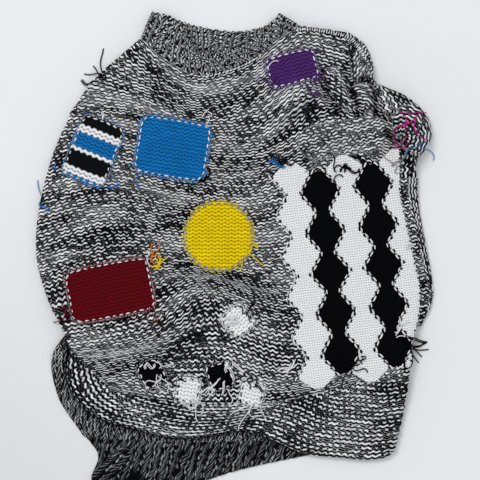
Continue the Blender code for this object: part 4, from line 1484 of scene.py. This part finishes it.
def lines_object(name, lines):
    """Rows of points in millimetres as a mesh of edges."""
    points, edges = [], []
    for line in lines:
        first = len(points)
        points += [tuple((np.array(p) - (*CENTRE, 0)) * MM) for p in line]
        edges += [(first + k, first + k + 1) for k in range(len(line) - 1)]
    mesh = bpy.data.meshes.new(name)
    mesh.from_pydata(points, edges, [])
    made = bpy.data.objects.new(name, mesh)
    bpy.context.scene.collection.objects.link(made)
    return made


def grown(name, lines, tree, yarn, **sizes):
    """The mesh that a tree makes on some lines."""
    holder = lines_object(name + "_lines", lines)
    modifier = holder.modifiers.new("yarn", "NODES")
    modifier.node_group = tree.tree
    for label, value in {**sizes, "Yarn": yarn}.items():
        modifier[tree.sockets[label.replace("_", " ").capitalize()]] = value
    bpy.context.view_layer.update()
    graph = bpy.context.evaluated_depsgraph_get()
    mesh = bpy.data.meshes.new_from_object(holder.evaluated_get(graph))
    mesh.name = name
    bpy.data.objects.remove(holder)
    made = bpy.data.objects.new(name, mesh)
    bpy.context.scene.collection.objects.link(made)
    return made


def joined(name, pieces):
    """Several pieces as one."""
    with bpy.context.temp_override(active_object=pieces[0], selected_editable_objects=pieces):
        bpy.ops.object.join()
    pieces[0].name = name
    pieces[0].data.name = name
    return pieces[0]


def beside(outline, offset, closed=True):
    """A line moved sideways in plan: outwards is positive on an outline that runs anticlockwise."""
    line = np.array(outline, float)
    if closed:
        ring = np.concatenate([line[-1:], line, line[:1]])
        along = (ring[2:] - ring[:-2])[:, :2]
    else:
        along = np.gradient(line, axis=0)[:, :2]
    along /= np.maximum(np.linalg.norm(along, axis=-1, keepdims=True), 1e-9)
    moved = line.copy()
    moved[:, 0] += along[:, 1] * offset
    moved[:, 1] -= along[:, 0] * offset
    return moved


def on_cloth(line, lift):
    """The line laid on whatever cloth is under it."""
    x, y = line[:, 0], line[:, 1]
    return np.stack([x, y, cloth_ground.at(x, y) + lift], axis=-1)


def closed_line(outline, offset, lift):
    """A line round a patch, beside its outline."""
    line = resampled(np.concatenate([outline, outline[:1]]), 160)
    return on_cloth(beside(line[:-1], offset), lift)


def strand(start, heading, length, bend, swing, phase, lift):
    """A loose end lying on the cloth, in a slow S."""
    steps = max(8, int(length / 2.2))
    share = np.linspace(0, 1, steps)
    angle = np.radians(heading) + bend * np.sin(swing * share + phase) - bend * np.sin(phase)
    x = start[0] + np.concatenate([[0], np.cumsum(np.cos(angle) * length / steps)])
    y = start[1] + np.concatenate([[0], np.cumsum(np.sin(angle) * length / steps)])
    ground = cloth_ground.at(x, y)
    eased = np.convolve(np.pad(ground, 2, mode="edge"), np.full(5, 0.2), mode="valid")
    rise = lift + 1.4 * np.sin(np.pi * np.linspace(0, 1, steps + 1)) ** 2
    rise[0] = 0.3
    return np.stack([x, y, np.maximum(ground, eased) + rise], axis=-1)


def fan(number, x, y, heading, spread, count, length, bend=0.7):
    """Ends that leave one knot side by side, some of them in pairs."""
    draw = np.random.default_rng(number)
    lines = []
    for k in range(count):
        start = np.array([x, y]) + draw.normal(0, 4.5, 2)
        way = heading + spread * ((k + 0.5) / count - 0.5) + draw.uniform(-10, 10)
        shape = (length * draw.uniform(0.5, 1.2), bend * draw.uniform(-1.6, 1.6), draw.uniform(2.0, 5.5),
                 draw.uniform(0, 6.28), 0.8 + 0.6 * k / count)
        lines.append(strand(start, way, *shape))
        if draw.uniform() < 0.3:
            lines.append(strand(start + 1.7, way, *shape))
    return lines


# ================================================================ making it
camera = bpy.data.objects.new("camera", bpy.data.cameras.new("camera"))
camera.data.sensor_width = SENSOR
camera.data.lens = SENSOR * VIEW_DISTANCE / VIEW_WIDTH
camera.location = (*VIEW_MIDDLE, VIEW_DISTANCE)
bpy.context.scene.collection.objects.link(camera)
bpy.context.scene.camera = camera
bpy.context.scene.view_settings.view_transform = "Standard"

world = bpy.data.worlds.new("studio")
bpy.context.scene.world = world
world.use_nodes = True
world.node_tree.nodes["Background"].inputs["Color"].default_value = opaque(SKY)
world.node_tree.nodes["Background"].inputs["Strength"].default_value = SKY_STRENGTH

window = bpy.data.objects.new("window", bpy.data.lights.new("window", "AREA"))
window.data.size, window.data.energy = WINDOW_SIZE, WINDOW_POWER
window.location = WINDOW_PLACE
window.rotation_mode = "QUATERNION"
window.rotation_quaternion = (-Vector(WINDOW_PLACE)).to_track_quat("-Z", "Y")
bpy.context.scene.collection.objects.link(window)

floor_mesh = bpy.data.meshes.new("floor")
floor_ways = ((-1, -1), (1, -1), (1, 1), (-1, 1))
floor_corners = [(x * FLOOR_REACH, y * FLOOR_REACH, 0) for x, y in floor_ways]
floor_mesh.from_pydata(floor_corners, [], [(0, 1, 2, 3)])
floor = bpy.data.objects.new("floor", floor_mesh)
floor_mesh.materials.append(pale_surface("pale surface", FLOOR_GREY))
bpy.context.scene.collection.objects.link(floor)

MARL = marl("marl wool, purl side", "purl", 0.96, 0.017, 0.24)
MARL_HEM = marl("marl wool, hem rows", "purl", 0.97, 0.008, 0.23)
# The knit side and the inside of the back's hem have a dimmer white strand: painted shade on the lower layer.
MARL_KNIT = marl("marl wool, knit side", "knit", 0.7, 0.0, 0.23, 2.0)
MARL_CAP = marl("marl wool, sleeve", "purl", 1.0, 0.025, 0.24)
MARL_DEEP = marl("marl wool, inside of the hem", "rib", 0.45, 0.02, 0.2, 3.8, 0.24)
MARL_RIB = marl("marl wool, rib", "rib", 1.08, -0.03, 0.27, 7.0, 0.36)
KNITTED = {
    key: wool(key.replace("_", " ") + " wool, knitted", key)
    for key in ("black", "cobalt", "yellow", "dark_red", "purple")
}
KNITTED["white"] = wool("white wool, knitted", "white", 0.36, 1.0, 0.15)
KNITTED["striped"] = stripes("striped wool")
THREADS = {key: thread(key.replace("_", " ") + " thread", key) for key in YARNS}

plain_front = coarse_front()
front_ground = Ground()
front_ground.lay(plain_front)
fine_across = np.linspace(0, 1, 120)
front_ground.lay(hem_frame(plain_front, 420, fine_across)[0])
front_ground.lay(cap_frame(plain_front, 60, 500)[0])
cloth_ground = Ground()
cloth_ground.height = front_ground.height.copy()
cloth_ground.lay(collar_frame(plain_front, 300, fine_across))

front_lower, front_upper = knit_front()
hem_band = knit_hem(plain_front)
sleeve_cap = knit_cap(plain_front)
collar = ribbed("collar", collar_frame(plain_front, 277, np.linspace(0, 1, 49)), 0.3)
collar_rear = ribbed("collar_rear", collar_back_frame(217, np.linspace(0, 1, 33)), 0.0, shaded=0.5)
back = knit_back()
back_hem = knit_back_hem()
tucks = []
for side, rows, lean in (("left", LEFT_TUCK, CUFF_LEAN), ("right", RIGHT_TUCK, -CUFF_LEAN)):
    sleeve = tucked(f"tucked_sleeve_{side}", rows, 0.0, MARL, ROW)
    tucks.append((sleeve, f"sleeve_{side}_tucked", rows))
    end_y, outer, inner = rows[-1]
    end_y -= SEAM_GAP
    cuff_rows = ((end_y, outer, inner), (end_y - CUFF_LENGTH, outer + lean, inner + lean))
    cuff = tucked(f"ribbed_cuff_{side}", cuff_rows, CUFF_NARROWER, MARL_RIB, CUFF_RIB_ROW)
    tucks.append((cuff, f"cuff_{side}", cuff_rows))

patches, outlines = {}, {}
for name, *shape in PATCHES:
    patches[name], top, outlines[name] = knit_patch(name + "_knit", *shape)
    cloth_ground.lay(top)
harlequin, column_tops = knit_harlequin()
for top in column_tops:
    cloth_ground.lay(top)

# ---------------------------------------------------------------- sewing
running = running_stitch_tree()
yarn_tube = loose_yarn_tree()
sewn = {}


def sew(yarn, line, **sizes):
    """Running stitches along a line. Sizes are in metres."""
    done = sewn.setdefault(yarn, [])
    done.append(grown(f"sewn_{yarn}_{len(done)}", [line], running, THREADS[yarn], **sizes))


# The thread of each patch's stitches just inside its edge, and of those just outside
PATCH_THREADS = {
    "patch_cobalt": ("white", "cobalt"),
    "patch_yellow": ("grey", "yellow"),
    "patch_dark_red": ("white", "dark_red"),
    "patch_purple": ("white", "purple"),
    "patch_striped": ("white", "cobalt"),
    "patch_small_1": ("white", "black"),
    "patch_small_2": ("black", "white"),
    "patch_small_3": ("white", "black"),
    "patch_small_4": ("black", "white"),
    "patch_small_5": ("black", "white"),
}
for number, (name, outline) in enumerate(outlines.items()):
    inner, outer = PATCH_THREADS[name]
    sew(inner, closed_line(outline, -3.2, 0.5), spacing=0.0098, length=0.0068, thickness=0.0021, seed=number)
    sew(outer, closed_line(outline, 1.6, 0.5), spacing=0.009, length=0.006, thickness=0.0021, seed=number + 40)
    sew("grey", closed_line(outline, -0.4, 0.6), spacing=0.0048, length=0.0054, thickness=0.0019, turn=0.5,
        seed=number + 80)

# Stitches on both sides of each border of the diamonds, in the other colour than the column's
BLOCK_STITCHES = {
    "white": {"length": 0.0088, "thickness": 0.0024},
    "black": {"length": 0.0056, "thickness": 0.0027},
}
down = np.linspace(0, HARLEQUIN["rows"] * HARLEQUIN["height"], 240)
for number in range(HARLEQUIN["columns"] + 1):
    for side in (-1, 1):
        column = number if side > 0 else number - 1
        line = np.stack(block_place(harlequin_border(number, down) + side * 1.7, down), axis=-1)
        on_white = 0 <= column < HARLEQUIN["columns"] and column % 2 == 0
        yarn = "black" if on_white else "white"
        sew(yarn, on_cloth(line, 0.5), spacing=0.0106, unevenness=0.12, seed=number * 3 + side,
            **BLOCK_STITCHES[yarn])

# The neckline's seam, where its stitches show, and the shoulder's chain
seam_line = plain_front[-1, :, :2]
seam_line = seam_line[seam_line[:, 0] <= NECKLINE[-1][0] + 4]
shown = slice(int(0.42 * len(seam_line)), int(0.76 * len(seam_line)))
sew("white", on_cloth(beside(seam_line, 0.8, closed=False)[shown], 1.4), spacing=0.0056, length=0.0062,
    thickness=0.0022, turn=0.35, seed=3)
chain = resampled(np.array(SHOULDER_CHAIN, float), 60)
sew("white", on_cloth(chain, 0.9), spacing=0.0035, length=0.0072, thickness=0.0015, turn=np.pi / 2, seed=5)

loose = {key: [] for key in THREADS}
for number, (yarn, *place) in enumerate(LOOSE_ENDS):
    loose[yarn] += fan(number, *place)
for yarn, lines in loose.items():
    if lines:
        thickness = LOOSE_THICKNESS.get(yarn, OTHER_THICKNESS)
        ends = grown(f"loose_{yarn}", lines, yarn_tube, THREADS[yarn], thickness=thickness)
        sewn.setdefault(yarn, []).append(ends)

threads = {yarn: joined(f"yarn_{yarn}", pieces) for yarn, pieces in sewn.items()}

# ---------------------------------------------------------------- what each piece stands for
SLOTS = {
    "cobalt": "cobalt_wool", "yellow": "yellow_wool", "dark_red": "dark_red_wool", "purple": "purple_wool",
    "striped": "striped_wool", "black": "black_wool", "white": "white_wool",
}


def settle(piece, slot, nodes=(), **cut):
    """The piece's body and the nodes that it stands for, which are hidden. Its finish (slot) and its cut are
    not used.
    """
    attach(piece, "root")
    if nodes:
        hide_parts(*nodes)


settle(front_lower, "marl_wool", ["front_panel"], flat=(0.54, 0.27), held="laid", rests_on=["back"],
       with_pieces=[threads["white"], threads["grey"]])
settle(front_upper, "marl_wool", (), flat=(0.53, 0.28), area=0.13, held="laid", rests_on=["back"])
settle(hem_band, "marl_wool", ["front_hem_band"], flat=(0.52, 0.1), area=0.04, held="laid", rests_on=["back"])
settle(sleeve_cap, "marl_wool", ["sleeve_right_cap"], flat=(0.46, 0.07), area=0.02, held="gathered",
       rests_on=["back"])
settle(collar, "marl_wool", ["collar_front"], flat=(0.25, 0.045), area=0.009, held="folded",
       rests_on=["front_upper"])
settle(collar_rear, "marl_wool", ["collar_back"], flat=(0.22, 0.045), area=0.0085, held="laid",
       rests_on=["floor"])
settle(back, "marl_wool", ["back_panel"], flat=(0.52, 0.58), area=0.27, held="laid", rests_on=["floor"])
settle(back_hem, "marl_wool", ["back_hem_band"], flat=(0.44, 0.075), area=0.022, held="laid",
       rests_on=["floor"])
for piece, node, rows in tucks:
    rows = np.array(rows, float)
    width = np.abs(rows[:, 1] - rows[:, 2]).max() * MM
    length = (rows[:, 0].max() - rows[:, 0].min()) * MM
    settle(piece, "marl_wool", [node], flat=(width, length), held="folded", rests_on=["floor"])
for name, x, y, width, height, turn, sides, yarn in PATCHES:
    area = width * height * MM * MM * (0.95 if sides else 0.78)  # corners drawn in, or a disc
    settle(patches[name], SLOTS[yarn], [name], flat=(width * MM, height * MM), area=area, held="laid",
           rests_on=["front_upper" if y > 50 else "front_lower"])
settle(harlequin, "harlequin_wool", ["patch_harlequin"], flat=(0.21, 0.326), area=0.058, held="laid",
       rests_on=["front_lower", "front_upper"])
for yarn, piece in threads.items():
    settle(piece, SLOTS.get(yarn, "marl_wool"))
